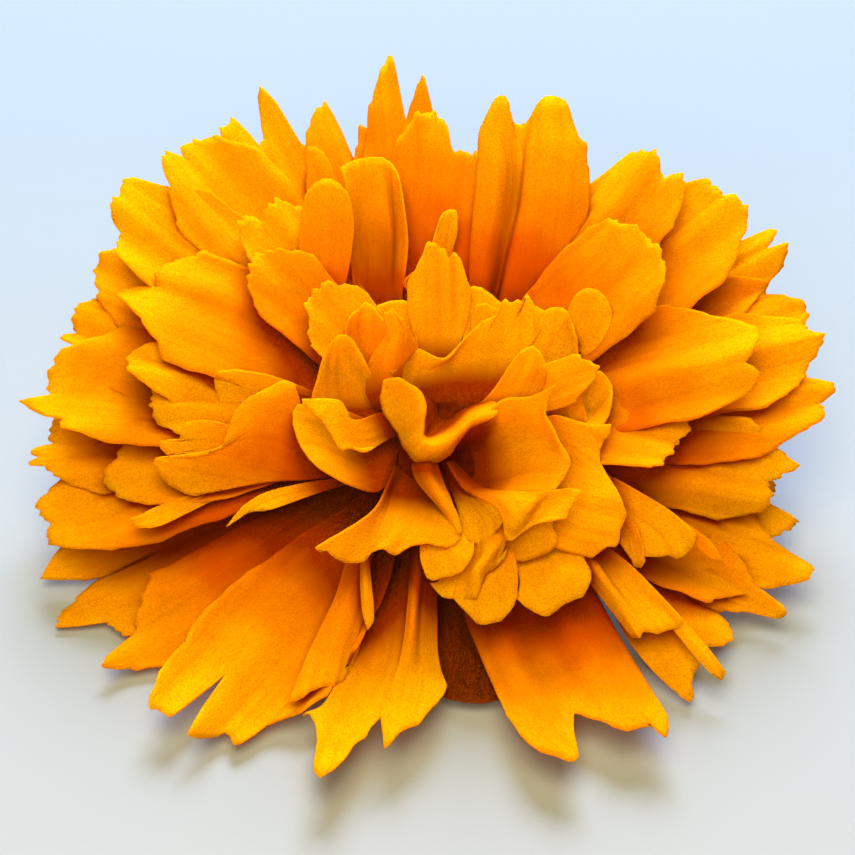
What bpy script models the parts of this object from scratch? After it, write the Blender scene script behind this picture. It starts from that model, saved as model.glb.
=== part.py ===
"""Double coreopsis flower head, picked with a short end of its stem.

The head leans towards -Y and stands on the flat cut of the stem, with its front petals on the
table. Origin: middle of the stem's cut face, +Z up. Everything is laid out in the flower's own
frame first (axis along +Z, receptacle plane at 0) and then leaned and lifted as one.
"""
import math
import random

import bmesh
import bpy
import numpy as np

MM = 0.001

LEAN = math.radians(15)        # lean of the flower's axis towards -Y
LIFT = 7.5                     # receptacle plane above the stem's cut face, along the axis, mm
BLADE = 0.6                    # thickness of a petal, mm
BRACT_BLADE = 0.7              # thickness of a bract, mm
TABLE_GAP = 0.36               # lowest middle surface of a petal that lies on the table, mm
TABLE_SOFT = 1.2               # height over which a petal bends to lie on the table, mm

# root radius and root height of each whorl of petals, outermost first, mm
WHORLS = {"A": (4.6, 0.0), "B": (4.2, 0.7), "C": (3.6, 1.4), "D": (2.8, 2.1), "E": (1.6, 2.7)}
CLAW = 0.22                    # width of a petal at its root, share of its full width
WIDEST = 0.72                  # place of a petal's full width, share of its length

# receptacle, turned about the axis: radius and height, top to bottom, mm
RECEPTACLE = [(0, 3.3), (1.8, 3.1), (3.6, 2.2), (4.9, 1.1), (5.4, 0.1), (5.1, -0.5), (3.4, -1.5), (0, -2.1)]
TURN_STEPS = 16

DISC_FLORETS = 9
DISC_FLORET_SIZE = (0.4, 3.0)  # radius and length, mm
DISC_FLORET_FIRST = 45         # azimuth of the first one, degrees
DISC_FLORET_STEP = 13

UNDER_PETALS = 9               # lower petals behind the head, under the ones in the whorls
UNDER_FIRST, UNDER_STEP = 56, 12.5

CUP_WALL = 0.7
# inner face of the cup of inner bracts, 0.4 mm clear of the receptacle, mm
CUP_INNER = [(5.9, -1.15), (3.6, -2.0), (0, -2.5)]
INNER_BRACTS = 8
OUTER_BRACTS = 8
STEM_RADIUS = 1.35
STEM_TOP = -3.7                # top of the stem, 0.5 mm under the cup, mm

# Petals, anticlockwise from the right as seen from above. Each row is whorl, azimuth, length,
# width, rise at the root, bend along the length, roll about the length, half angle of the
# trough across it, and the toothed edge as (side, reach) pairs: side -1 is the clockwise
# margin and +1 the other, and reach is a share of the length. Degrees and mm.
PETALS = [
    # right and back right
    ("A", -10, 20.5, 7.0, -2, -16, 0, 10, [(-1, .78), (-.45, .92), (.1, 1), (.2, .85), (.6, .9), (1, .78)]),
    ("B", -8, 18.9, 7.0, 10, -22, 25, -30, [(-1, .8), (-.5, .98), (-.1, .95), (.3, 1.04), (.6, .95), (1, .85)]),
    ("B", 5, 22.1, 8.5, 6, -10, 0, 12, [(-1, .74), (-.65, .86), (-.1, .98), (.3, 1.03), (.6, .94), (1, .8)]),
    ("B", 13, 21.6, 7.5, 8, -8, 0, 12, [(-1, .8), (-.7, .92), (-.2, 1), (.1, 1.04), (.6, 1), (1, .8)]),
    ("A", 22, 22.2, 7.0, 6, -6, 0, 12, [(-1, .8), (-.5, .98), (.2, 1.01), (.5, .92), (.7, .93), (1, .78)]),
    ("A", 32, 22.8, 6.5, 6, -2, 8, 12, [(-1, .8), (-.65, .93), (-.2, 1.03), (0, .97), (.3, 1.03), (.45, .9), (1, .78)]),
    ("B", 38, 21.5, 8.5, 14, -4, 8, 10, [(-1, .8), (-.65, .93), (-.15, 1.03), (.4, 1), (.72, .93), (1, .8)]),
    ("B", 50.5, 19.6, 8.0, 18, 0, 0, 10, [(-1, .84), (-.6, 1.02), (-.25, .98), (.05, 1.03), (.5, 1), (.62, .87), (1, .7)]),
    ("B", 70.5, 20.0, 9.0, 24, 4, 0, 20,
     [(-1, .76), (-.75, .88), (-.3, 1.01), (0, 1.02), (.18, .91), (.5, .9), (.68, .99), (1, .76)]),
    ("B", 89, 18.3, 6.5, 20, 4, 0, 15, [(-1, .74), (-.72, .86), (-.2, .87), (-.1, .97), (.5, 1), (1, .86)]),
    ("A", 96, 23.0, 6.0, 12, 4, 0, 10, [(-1, .74), (-.65, .96), (-.1, .85), (.05, 1.04), (.4, .98), (1, .7)]),
    # back left and left
    ("A", 107, 21.0, 6.5, 10, 2, 0, 10, [(-1, .7), (-.5, .92), (-.15, .82), (.07, 1.04), (.8, .88), (1, .74)]),
    ("A", 118, 23.0, 7.5, 10, 0, 0, 10,
     [(-1, .72), (-.52, .84), (-.32, 1.06), (.1, .9), (.45, .99), (.75, .97), (1, .82)]),
    ("B", 131, 22.9, 8.0, 12, -2, 0, 10, [(-1, .84), (-.6, .96), (-.25, 1.01), (.28, 1.01), (.64, .93), (1, .8)]),
    ("B", 143, 23.3, 8.5, 12, -4, 0, 10, [(-1, .8), (-.63, .92), (-.3, 1.03), (.2, 1), (.45, .92), (.8, .9), (1, .78)]),
    ("A", 151.5, 22.0, 7.0, 6, -4, 0, 10, [(-1, .85), (-.4, 1), (-.1, 1.01), (.3, .96), (1, .8)]),
    ("A", 161, 21.7, 8.0, 8, -12, 0, 10, [(-1, .82), (-.55, .97), (-.15, 1.01), (.3, 1.02), (.4, .93), (1, .8)]),
    ("B", 172, 23.0, 9.0, 10, -18, 0, 10, [(-1, .78), (-.65, .89), (-.25, .97), (.12, .96), (.27, 1.03), (.6, .9), (1, .76)]),
    ("A", 180, 22.6, 7.5, 4, -16, 0, 10, [(-1, .8), (-.4, .96), (-.05, 1.01), (.25, 1.01), (.4, .96), (1, .78)]),
    ("B", -170, 22.8, 8.5, 4, -22, 0, 10, [(-1, .8), (-.48, .93), (-.12, 1), (.48, .99), (.75, .93), (1, .8)]),
    ("A", -157, 22.0, 10.0, 0, -22, 0, 12,
     [(-1, .84), (-.6, 1.05), (-.27, .9), (.05, 1.04), (.28, 1.06), (.48, .92), (.78, .89), (1, .76)]),
    # front
    ("A", -145, 21.5, 7.0, -2, -14, 0, 10, [(-1, .74), (-.5, .84), (-.15, .9), (.12, 1.03), (.75, .87), (1, .78)]),
    ("A", -125, 21.0, 10.0, 2, -10, 0, 15,
     [(-1, .86), (-.75, 1.04), (-.42, 1.03), (-.3, .79), (-.08, 1.05), (.18, .95), (.42, .96), (.56, .86), (1, .7)]),
    ("B", -112, 16.5, 4.4, 8, -14, 0, 15, [(-1, .96), (-.75, 1.05), (-.3, .99), (.6, .92), (1, .8)]),
    ("A", -106, 20.0, 7.0, 2, -4, 15, -15, [(-1, .76), (-.5, .87), (-.15, 1.04), (.1, 1), (.4, .89), (1, .74)]),
    ("B", -96, 18.1, 6.5, 4, -8, 20, -20, [(-1, .8), (-.55, .9), (-.3, 1.03), (0, .95), (.36, .93), (1, .68)]),
    ("A", -63, 19.7, 10.5, 4, -12, 0, 12,
     [(-1, .8), (-.87, .93), (-.45, 1), (-.25, .86), (.1, .94), (.5, 1), (.62, 1.07), (.75, 1), (1, .8)]),
    ("A", -49, 20.0, 5.5, 0, -16, -10, 15, [(-1, .8), (-.4, .93), (.1, 1.02), (1, .8)]),
    ("A", -41, 20.2, 4.0, 0, -14, 65, 10, [(-1, .8), (-.3, .95), (.2, 1), (1, .85)]),
    ("B", -46.5, 16.4, 5.0, 8, -14, -5, 20, [(-1, .9), (-.8, .96), (0, 1), (.5, 1.03), (1, .85)]),
    ("A", -31, 20.2, 8.0, 2, -20, 0, 10, [(-1, .78), (-.55, .94), (-.15, .85), (.2, .92), (.46, 1.05), (.6, .9), (1, .75)]),
    ("B", -20, 21.3, 9.5, 4, -26, 0, 10, [(-1, .76), (-.5, .88), (-.15, 1.02), (.08, 1.05), (.35, .9), (1, .66)]),
    # middle of the head, right side first
    ("C", 11, 18.0, 8.5, 20, -14, 6, 12, [(-1, .74), (-.85, .88), (-.55, .99), (.2, 1.04), (.5, .98), (1, .74)]),
    ("C", 36, 15.0, 5.0, 34, -8, 5, 12, [(-1, .85), (-.5, 1), (0, 1.03), (.5, 1), (1, .85)]),
    ("C", 86, 11.8, 2.6, 46, -4, 0, 25, [(-1, .75), (0, 1), (1, .75)]),
    ("C", 100, 12.5, 4.0, 46, 0, 70, 25, [(-1, .8), (-.3, .96), (.4, 1), (1, .8)]),
    ("C", 105, 15.5, 6.5, 36, 0, 20, 15, [(-1, .8), (-.5, .94), (0, 1), (.5, .97), (1, .8)]),
    ("C", 124, 15.0, 4.4, 40, 4, 0, 40, [(-1, .75), (-.5, .94), (0, 1), (.5, .96), (1, .75)]),
    ("B", 128, 16.0, 6.0, 26, 0, 0, 12, [(-1, .8), (-.4, .98), (.1, .96), (.5, 1), (1, .8)]),
    ("C", 138, 14.0, 5.5, 34, -6, 0, 15, [(-1, .8), (-.2, 1), (.5, .95), (1, .78)]),
    ("C", 155, 18.9, 9.0, 26, -32, 0, -8, [(-1, .86), (-.4, .97), (-.12, .95), (.1, 1.07), (.5, .95), (1, .78)]),
    ("C", 171, 18.0, 6.0, 16, -14, 0, -6, [(-1, .8), (-.3, .97), (0, .97), (.4, .88), (1, .66)]),
    ("C", 182, 15.6, 5.0, 22, -30, 0, -10, [(-1, .85), (-.6, .96), (0, 1), (1, .85)]),
    ("C", 188, 13.5, 3.8, 26, -40, 0, -12, [(-1, .84), (-.2, 1), (.4, .98), (1, .85)]),
    ("C", -170, 15.6, 6.5, 20, -44, 0, -12, [(-1, .82), (-.45, .97), (-.1, 1.01), (.3, .96), (1, .76)]),
    ("D", 178, 12.8, 4.8, 34, -24, 0, -10, [(-1, .86), (-.6, .97), (0, 1), (1, .85)]),
    ("D", 188, 11.5, 9.0, 34, -30, -10, -15, [(-1, .7), (-.35, .92), (.1, 1), (.5, 1.03), (1, .8)]),
    ("B", -171, 18.1, 6.0, 14, -30, 0, -8, [(-1, .86), (-.35, 1), (.1, 1), (.6, .9), (1, .78)]),
    ("C", -147, 12.5, 5.5, 14, -28, -10, 15, [(-1, .72), (-.7, .88), (-.2, .98), (.5, .97), (1, .85)]),
    ("C", -112, 11.6, 3.0, 8, -40, 80, 10, [(-1, .9), (-.5, 1), (.2, .95), (1, .8)]),
    ("C", -31, 14.5, 8.0, 20, -48, 0, -10, [(-1, .74), (-.45, .9), (0, 1), (.35, 1.06), (.65, 1.05), (1, .8)]),
    ("C", -9, 12.9, 5.5, 26, -30, -8, 12, [(-1, .85), (-.7, .92), (0, .97), (.7, 1.03), (1, .85)]),
    ("D", 32, 11.7, 3.6, 36, -10, 0, 10, [(-1, .8), (-.2, 1), (.4, .98), (1, .8)]),
    ("D", 4, 9.5, 3.0, 44, -14, 20, 20, [(-1, .8), (.2, 1), (1, .85)]),
    # inner tuft
    ("D", 89, 9.8, 4.3, 48, -6, 0, 10, [(-1, .68), (-.45, .93), (-.3, .9), (.2, 1), (1, .7)]),
    ("E", 52, 8.2, 7.0, 38, 0, 0, 25, [(-1, .8), (-.7, .95), (-.2, 1), (.15, 1), (.6, .96), (1, .7)]),
    ("D", 38, 9.0, 5.0, 30, 0, 0, 10, [(-1, .8), (-.4, 1), (.6, 1), (1, .85)]),
    ("E", 28, 7.4, 3.4, 34, 0, 35, 15, [(-1, .7), (0, 1), (1, .7)]),
    ("E", -12, 8.4, 7.5, 30, 10, 12, 40, [(-1, .8), (-.5, 1), (.1, .97), (.7, 1), (1, .95)]),
    ("E", -40, 10.6, 5.0, 22, -20, 0, -12, [(-1, .8), (-.4, .92), (.3, 1), (1, .85)]),
    ("D", -52, 10.0, 4.5, 24, -30, 0, -15, [(-1, .85), (0, 1), (1, .85)]),
    ("D", -32, 12.6, 7.5, 26, -30, 0, -12, [(-1, .8), (-.6, .95), (.2, 1.03), (.6, .98), (1, .8)]),
    ("D", -64, 13.6, 5.8, 24, -40, 0, -12, [(-1, .84), (-.7, .96), (.1, 1.04), (.5, .96), (1, .8)]),
    ("D", -13, 9.6, 4.5, 30, -12, 0, 10, [(-1, .8), (-.3, .95), (.4, 1), (1, .85)]),
    ("E", 124, 7.8, 3.4, 36, 0, 0, 15, [(-1, .7), (0, 1), (1, .72)]),
    ("E", 112, 7.4, 2.2, 42, 0, 50, 20, [(-1, .8), (.3, 1), (1, .9)]),
    ("E", 146, 7.2, 4.0, 42, 0, 0, 15, [(-1, .7), (.1, 1), (1, .7)]),
    ("D", 155, 10.5, 2.5, 34, 0, 55, 30, [(-1, .8), (0, 1), (1, .7)]),
    ("D", 140, 9.6, 5.5, 36, 0, 0, 10, [(-1, .75), (-.2, 1), (.3, .98), (1, .75)]),
    ("D", -152, 7.4, 8.5, 34, 0, 0, 20, [(-1, .9), (-.4, 1), (.4, 1), (1, .85)]),
    ("E", -158, 7.0, 6.5, 46, -20, 0, -15, [(-1, .98), (0, .93), (.2, 1), (.7, .96), (1, .8)]),
    ("E", -106, 9.8, 10.0, 38, -70, 0, -15, [(-1, .96), (-.85, 1.06), (-.55, .98), (0, .94), (.7, .92), (1, .85)]),
    ("D", -62, 7.0, 4.5, 34, -20, 20, 20, [(-1, .85), (0, 1), (1, .95)]),
    ("D", -88, 10.6, 4.2, 24, -40, 0, -10, [(-1, .85), (-.3, 1), (.5, .97), (1, .8)]),
    ("D", -76, 11.5, 4.6, 28, -40, 10, -10, [(-1, .85), (-.3, 1), (.5, .97), (1, .8)]),
]

SHALLOW_TOOTH = 0.04           # a shallower tooth, as a share of the length, is left off the solid
LONG_PETAL = 12.0              # a longer petal has one more row of faces
ROWS_SHORT = (0, 0.45, 1)
ROWS_LONG = (0, 0.33, 0.68, 1)

PETAL_COLOUR = (0.95, 0.42, 0.01, 1)
BRACT_COLOUR = (0.36, 0.33, 0.08, 1)
STEM_COLOUR = (0.10, 0.22, 0.04, 1)


def lean_and_lift(points):
    """Flower frame in mm to the table's frame in metres."""
    x, y, z = points[..., 0], points[..., 1], points[..., 2] + LIFT
    cos, sin = math.cos(LEAN), math.sin(LEAN)
    return np.stack([x, y * cos - z * sin, y * sin + z * cos], -1) * MM


def lie_on_table(points):
    """Bend up, smoothly, what would reach under the table."""
    out = points.copy()
    soft = TABLE_SOFT * MM
    height = points[..., 2] - TABLE_GAP * MM
    bent = (height + soft) ** 2 / (4 * soft)
    out[..., 2] = TABLE_GAP * MM + np.where(height > soft, height, np.where(height < -soft, 0, bent))
    return out


def blade_grid(root, azimuth, length, width, rise, bend, roll, trough, sides, shares, claw=CLAW):
    """Middle surface of a blade: rows of points at the given shares of its length, for each side."""
    root_radius, root_height = root
    azimuth, rise, bend = (math.radians(a) for a in (azimuth, rise, bend))
    roll, trough = math.radians(roll), math.radians(trough)
    steps = 60
    along = (np.arange(steps) + 0.5) / steps * 1.1
    slope = rise + bend * along
    run = np.concatenate([[0], np.cumsum(np.cos(slope))]) * length * 1.1 / steps
    climb = np.concatenate([[0], np.cumsum(np.sin(slope))]) * length * 1.1 / steps
    ends = np.arange(steps + 1) / steps * 1.1
    radius = root_radius + np.interp(shares, ends, run)
    height = root_height + np.interp(shares, ends, climb)
    slope = rise + bend * shares
    out = np.array([math.cos(azimuth), math.sin(azimuth), 0])
    side = np.array([-math.sin(azimuth), math.cos(azimuth), 0])
    up = np.array([0, 0, 1])
    normal = np.cos(slope)[..., None] * up - np.sin(slope)[..., None] * out
    across = side * math.cos(roll) + normal * math.sin(roll)
    facing = normal * math.cos(roll) - side * math.sin(roll)
    swell = np.sin(np.clip(shares / WIDEST, 0, 1) * math.pi / 2)
    half = width / 2 * (claw + (1 - claw) * swell)
    angle = trough * np.clip(0.35 + 0.65 * shares, 0, 1)
    lateral = half * np.sin(angle * sides) / angle
    lifted = half * (1 - np.cos(angle * sides)) / angle
    middle = radius[..., None] * out + height[..., None] * up
    return middle + lateral[..., None] * across + lifted[..., None] * facing


def sheet_object(name, grid, thickness, collection):
    """Open triangulated sheet through a grid of points, given its thickness by Solidify."""
    rows, columns = grid.shape[:2]
    mesh = bmesh.new()
    verts = [[mesh.verts.new(point) for point in row] for row in grid]
    for i in range(rows - 1):
        for j in range(columns - 1):
            a, b, c, d = verts[i][j], verts[i][j + 1], verts[i + 1][j + 1], verts[i + 1][j]
            pairs = ((a, b, c), (a, c, d)) if 2 * j < columns - 1 else ((a, b, d), (b, c, d))
            for corners in pairs:
                mesh.faces.new(corners)
    data = bpy.data.meshes.new(name)
    mesh.to_mesh(data)
    mesh.free()
    sheet = bpy.data.objects.new(name, data)
    collection.objects.link(sheet)
    solidify = sheet.modifiers.new("thickness", "SOLIDIFY")
    solidify.thickness = thickness * MM
    solidify.offset = 0
    return sheet


def main_teeth(edge):
    """The toothed edge without the points that lie close to the line between their neighbours."""
    kept = [edge[0]]
    for before, here, after in zip(edge, edge[1:], edge[2:]):
        share = (here[0] - before[0]) / (after[0] - before[0])
        if abs(here[1] - before[1] - share * (after[1] - before[1])) > SHALLOW_TOOTH:
            kept.append(here)
    return kept + [edge[-1]]


def petal_sheet(row, collection):
    """One petal from its row in the table."""
    whorl, azimuth, length, width, rise, bend, roll, trough, edge = row
    sides, reach = (np.array(values, float) for values in zip(*main_teeth(edge)))
    levels = np.array(ROWS_LONG if length > LONG_PETAL else ROWS_SHORT)
    shares = levels[:, None] * reach[None, :]
    sides = np.broadcast_to(sides, shares.shape)
    grid = blade_grid(WHORLS[whorl], azimuth, length, width, rise, bend, roll, trough, sides, shares)
    return sheet_object("petal", lie_on_table(lean_and_lift(grid)), BLADE, collection)


def under_petal_rows(draw):
    """Rows for the lower petals behind the head, where the light goes under the upper ones."""
    rows = []
    for k in range(UNDER_PETALS):
        azimuth = UNDER_FIRST + k * UNDER_STEP + draw.uniform(-2, 2)
        notch = draw.uniform(-.3, .3)
        edge = [(-1, .78), (notch - .3, 1), (notch, .92), (notch + .3, 1.02), (1, .8)]
        rows.append(("A", azimuth, draw.uniform(15.5, 17), 7, draw.uniform(-8, -4), 4, 0, 10, edge))
    return rows


def turned_object(name, profile, collection):
    """Solid turned about the axis from a profile that runs down its outer side."""
    data = bpy.data.meshes.new(name)
    data.from_pydata([(r * MM, 0, z * MM) for r, z in profile], [(i, i + 1) for i in range(len(profile) - 1)], [])
    turned = bpy.data.objects.new(name, data)
    collection.objects.link(turned)
    screw = turned.modifiers.new("turn", "SCREW")
    screw.steps = screw.render_steps = TURN_STEPS
    screw.use_merge_vertices = True
    screw.merge_threshold = 0.00001
    screw.use_smooth_shade = False
    return turned


def place_on_table(thing):
    """Lean and lift an object that was made in the flower frame."""
    thing.rotation_euler = (LEAN, 0, 0)
    thing.location = (0, -LIFT * MM * math.sin(LEAN), LIFT * MM * math.cos(LEAN))


def disc_floret(collection, azimuth, radius, tilt):
    """Slim six-sided tube standing on the receptacle between the inner petals."""
    wide, tall = DISC_FLORET_SIZE
    bpy.ops.mesh.primitive_cone_add(vertices=6, radius1=wide * 0.6 * MM, radius2=wide * MM, depth=tall * MM)
    floret = bpy.context.object
    for other in list(floret.users_collection):
        other.objects.unlink(floret)
    collection.objects.link(floret)
    place = np.array([radius * math.cos(azimuth), radius * math.sin(azimuth), 2.6 + tall / 2])
    floret.location = lean_and_lift(place)
    floret.rotation_euler = (LEAN - tilt * math.sin(azimuth), tilt * math.cos(azimuth), 0)
    return floret


def new_collection(name, parent):
    made = bpy.data.collections.new(name)
    parent.children.link(made)
    return made


def material(name, colour, roughness):
    made = bpy.data.materials.new(name)
    made.use_nodes = True
    shader = made.node_tree.nodes["Principled BSDF"]
    shader.inputs["Base Color"].default_value = colour
    shader.inputs["Roughness"].default_value = roughness
    shader.inputs["Metallic"].default_value = 0
    return made


def biggest_body(data):
    """Drop loose scraps and fill sealed hollows: only the largest connected shell stays."""
    mesh = bmesh.new()
    mesh.from_mesh(data)
    unseen = set(mesh.verts)
    groups = []
    while unseen:
        stack = [unseen.pop()]
        group = set(stack)
        while stack:
            for edge in stack.pop().link_edges:
                for vert in edge.verts:
                    if vert in unseen:
                        unseen.discard(vert)
                        group.add(vert)
                        stack.append(vert)
        groups.append(group)
    biggest = max(groups, key=len)
    bmesh.ops.delete(mesh, geom=[v for v in mesh.verts if v not in biggest], context="VERTS")
    bmesh.ops.triangulate(mesh, faces=mesh.faces)
    mesh.to_mesh(data)
    mesh.free()


def fuse(name, base, repeats, home, finish):
    """Join a collection of repeats to their base in one body and remove the repeats."""
    union = base.modifiers.new("union", "BOOLEAN")
    union.operation = "UNION"
    union.operand_type = "COLLECTION"
    union.collection = repeats
    union.solver = "MANIFOLD"
    shown = base.evaluated_get(bpy.context.evaluated_depsgraph_get())
    data = bpy.data.meshes.new_from_object(shown)
    data.transform(base.matrix_world)
    data.name = name
    biggest_body(data)
    joined = bpy.data.objects.new(name, data)
    home.objects.link(joined)
    data.materials.clear()
    data.materials.append(finish)
    for thing in list(repeats.objects) + [base]:
        bpy.data.objects.remove(thing)
    bpy.data.collections.remove(repeats)
    return joined


def build_petals(home, work):
    """All the petals, the disc florets and the receptacle they grow from."""
    draw = random.Random(7)
    repeats = new_collection("petal repeats", work)
    for row in PETALS + under_petal_rows(draw):
        petal_sheet(row, repeats)
    for k in range(DISC_FLORETS):
        azimuth = math.radians(DISC_FLORET_FIRST + DISC_FLORET_STEP * k + draw.uniform(-4, 4))
        disc_floret(repeats, azimuth, draw.uniform(2.3, 3.3), draw.uniform(0.05, 0.25))
    core = turned_object("receptacle", RECEPTACLE, work)
    place_on_table(core)
    bpy.context.view_layer.update()
    return fuse("petals", core, repeats, home, material("petal orange", PETAL_COLOUR, 0.6))


def build_inner_bracts(home, work):
    """Cup of broad inner bracts under the receptacle."""
    repeats = new_collection("inner bract repeats", work)
    levels = np.array([0, 0.5, 1.0])
    sides = np.array([-1, 0, 1.0])
    for k in range(INNER_BRACTS):
        shares = levels[:, None] * np.array([0.75, 1, 0.75])[None, :]
        grid = blade_grid((3.0, -2.75), 360 / INNER_BRACTS * k + 11, 5.4, 4.4, 22, -12, 0, 12,
                          np.broadcast_to(sides, shares.shape), shares, claw=0.6)
        sheet_object("inner bract", lean_and_lift(grid), BRACT_BLADE, repeats)
    outer = [(r + (0.35 if r else 0), z - CUP_WALL) for r, z in reversed(CUP_INNER)]
    profile = [CUP_INNER[-1]] + list(reversed(CUP_INNER))[1:] + list(reversed(outer))
    cup = turned_object("bract cup", profile, work)
    place_on_table(cup)
    bpy.context.view_layer.update()
    return fuse("inner_bracts", cup, repeats, home, material("bract straw green", BRACT_COLOUR, 0.7))


def build_stem(home, work):
    """Short end of the stem, cut flat on the table, with the narrow outer bracts at its top."""
    repeats = new_collection("outer bract repeats", work)
    levels = np.array([0, 0.35, 0.7, 1.0])
    sides = np.array([-1, 0, 1.0])
    for k in range(OUTER_BRACTS):
        shares = levels[:, None] * np.array([0.8, 1, 0.8])[None, :]
        grid = blade_grid((0.8, STEM_TOP - 0.45), 360 / OUTER_BRACTS * k + 33, 8.6, 2.4, 8, 10, 0, 14,
                          np.broadcast_to(sides, shares.shape), shares, claw=0.6)
        sheet_object("outer bract", lean_and_lift(grid), BRACT_BLADE, repeats)
    profile = [(0, STEM_TOP), (1.2, STEM_TOP), (1.75, STEM_TOP - 0.35), (1.7, STEM_TOP - 1.0),
               (STEM_RADIUS, STEM_TOP - 1.9), (STEM_RADIUS, -LIFT - 1.5), (0, -LIFT - 1.5)]
    stem = turned_object("stem end", profile, work)
    place_on_table(stem)
    bpy.context.view_layer.update()
    joined = fuse("stem_and_outer_bracts", stem, repeats, home, material("stem green", STEM_COLOUR, 0.65))
    mesh = bmesh.new()
    mesh.from_mesh(joined.data)
    cut = bmesh.ops.bisect_plane(mesh, geom=mesh.verts[:] + mesh.edges[:] + mesh.faces[:], dist=1e-7,
                                 plane_co=(0, 0, 0), plane_no=(0, 0, -1), clear_outer=True)
    rim = [e for e in cut["geom_cut"] if isinstance(e, bmesh.types.BMEdge)]
    bmesh.ops.edgeloop_fill(mesh, edges=rim)
    bmesh.ops.recalc_face_normals(mesh, faces=mesh.faces)
    bmesh.ops.triangulate(mesh, faces=mesh.faces)
    mesh.to_mesh(joined.data)
    mesh.free()
    return joined


def main():
    for thing in list(bpy.data.objects):
        bpy.data.objects.remove(thing)
    home = new_collection("coreopsis flower", bpy.context.scene.collection)
    work = new_collection("work", bpy.context.scene.collection)
    build_petals(home, work)
    build_inner_bracts(home, work)
    build_stem(home, work)
    bpy.data.collections.remove(work)


main()
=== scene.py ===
"""Double coreopsis flower head: petals, florets, bracts and stem end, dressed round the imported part.

The petals stand in the space of the solid's petals. They are laid out in the flower's own frame,
in mm, with the axis along +Z and the receptacle plane at 0, and then leaned and lifted to the
table's frame in metres. PETALS holds those that a rule can bend. TUFT and FOLDED hold those with
curled rims and folds, as places seen in the picture with their height over the receptacle.
"""
import math
import random

import bmesh
import bpy
import numpy as np
from mathutils import Matrix, Vector
from mathutils.bvhtree import BVHTree


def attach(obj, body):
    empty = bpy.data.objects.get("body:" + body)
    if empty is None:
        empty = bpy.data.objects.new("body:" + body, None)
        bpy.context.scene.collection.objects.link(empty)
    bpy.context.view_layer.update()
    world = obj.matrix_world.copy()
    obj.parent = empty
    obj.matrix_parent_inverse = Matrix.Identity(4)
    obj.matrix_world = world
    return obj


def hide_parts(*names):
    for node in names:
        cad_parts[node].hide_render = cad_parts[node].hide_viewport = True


bl_info = {
    "name": "Coreopsis flower",
    "version": (1, 0, 0),
    "blender": (4, 5, 0),
    "location": "View3D > Sidebar > Coreopsis",
    "description": "Builds the petals, florets, bracts and stage of a double coreopsis head",
    "category": "Add Mesh",
}

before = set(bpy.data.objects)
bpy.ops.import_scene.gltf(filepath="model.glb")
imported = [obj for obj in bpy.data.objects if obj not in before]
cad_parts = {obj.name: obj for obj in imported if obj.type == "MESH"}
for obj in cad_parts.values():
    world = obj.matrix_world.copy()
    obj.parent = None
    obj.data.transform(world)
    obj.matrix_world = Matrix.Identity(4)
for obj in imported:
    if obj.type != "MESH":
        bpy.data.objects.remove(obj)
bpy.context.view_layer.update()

MM = 0.001
TURN = 2 * math.pi
LEAN = math.radians(15)        # how far the flower's axis leans to the front
LIFT = 7.5                     # receptacle plane over the stem's cut, along the axis, mm
TABLE_GAP = 0.36               # least height of a petal's middle surface over the table, mm
TABLE_SOFT = 1.2               # height over which a petal bends to lie on it, mm

# root radius and root height of each whorl of petals, mm
WHORLS = {"A": (4.6, 0.0), "B": (4.2, 0.7), "C": (3.6, 1.4), "D": (2.8, 2.1)}
WHORL_PIECES = {"A": "outer_petals", "B": "second_petals", "C": "middle_petals", "D": "inner_petals"}
CLAW = 0.22                    # width of a petal's root, as a share of the whole
WIDEST = 0.72                  # share of the length at which a petal is widest
TOOTH_POWER = 1.7              # how round the teeth are
LINE_STEPS = 80                # steps in which a petal's middle line is laid out
LINE_REACH = 1.12              # how far it is laid out, as a share of the length
RAGGED = 0.15                  # how far the edge strays from its teeth, mm
RAGGED_WAVES = (1.6, 2.9, 5.3)
PHASE = (0, 6.3)               # span of random phases, rad
MARGIN_WAVER = 0.035           # waver of the outline along a margin, as a share of the width
MARGIN_WAVES = ((0.55, 1.0), (1.3, 0.6), (2.9, 0.35))
TROUGH_ROOT = 0.35             # share of the trough's angle at the root
FOLD_WAVES = ((1.0, 1.0), (1.7, 0.8), (2.9, 0.35))
WAVE_DRIFT = (-1.2, 1.2)       # least and most that a wave turns along a petal, rad
FOLD_GROWTH = 1.5              # how fast the folds grow from the root
NOTCH_GROOVE = 0.28            # depth of the groove that runs up from a notch, mm
NOTCH_WIDTH = 0.12             # its width, as a share of half the petal's
RIPPLE_FROM = 0.35             # share of half the width past which a margin ripples
RIPPLE_HEIGHT = (0.1, 0.3)     # least and most that it does, mm
RIPPLE_GAIN = 2.2
TIP_CURL = 18                  # how much each tooth turns up or down
TIP_FROM = 0.78                # share of the length past which it does
TOOTH_WIDTH = 0.25             # its width, as a share of half the petal's
SHAPED_FOLD = 0.004            # depth of the folds of a shaped petal, as a share of its width
SHAPED_WAVES = ((2.3, 1.0), (3.7, 0.7), (6.1, 0.4))

# shaped petals whose tips stand higher than in their tables: by how much at most, mm, how far down
# the picture that starts and is full, px, and how it grows between
FRONT_RAISE, BACK_RAISE = (1.4, 560, 740, 1), (1.0, 230, 95, 1.3)
RAISED = {"pointed petal in front": FRONT_RAISE, "petal beside the gap": FRONT_RAISE,
          "broad petal in front": FRONT_RAISE, "petal behind the hanging strip": FRONT_RAISE,
          "two lobed petal at the back": BACK_RAISE}

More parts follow.
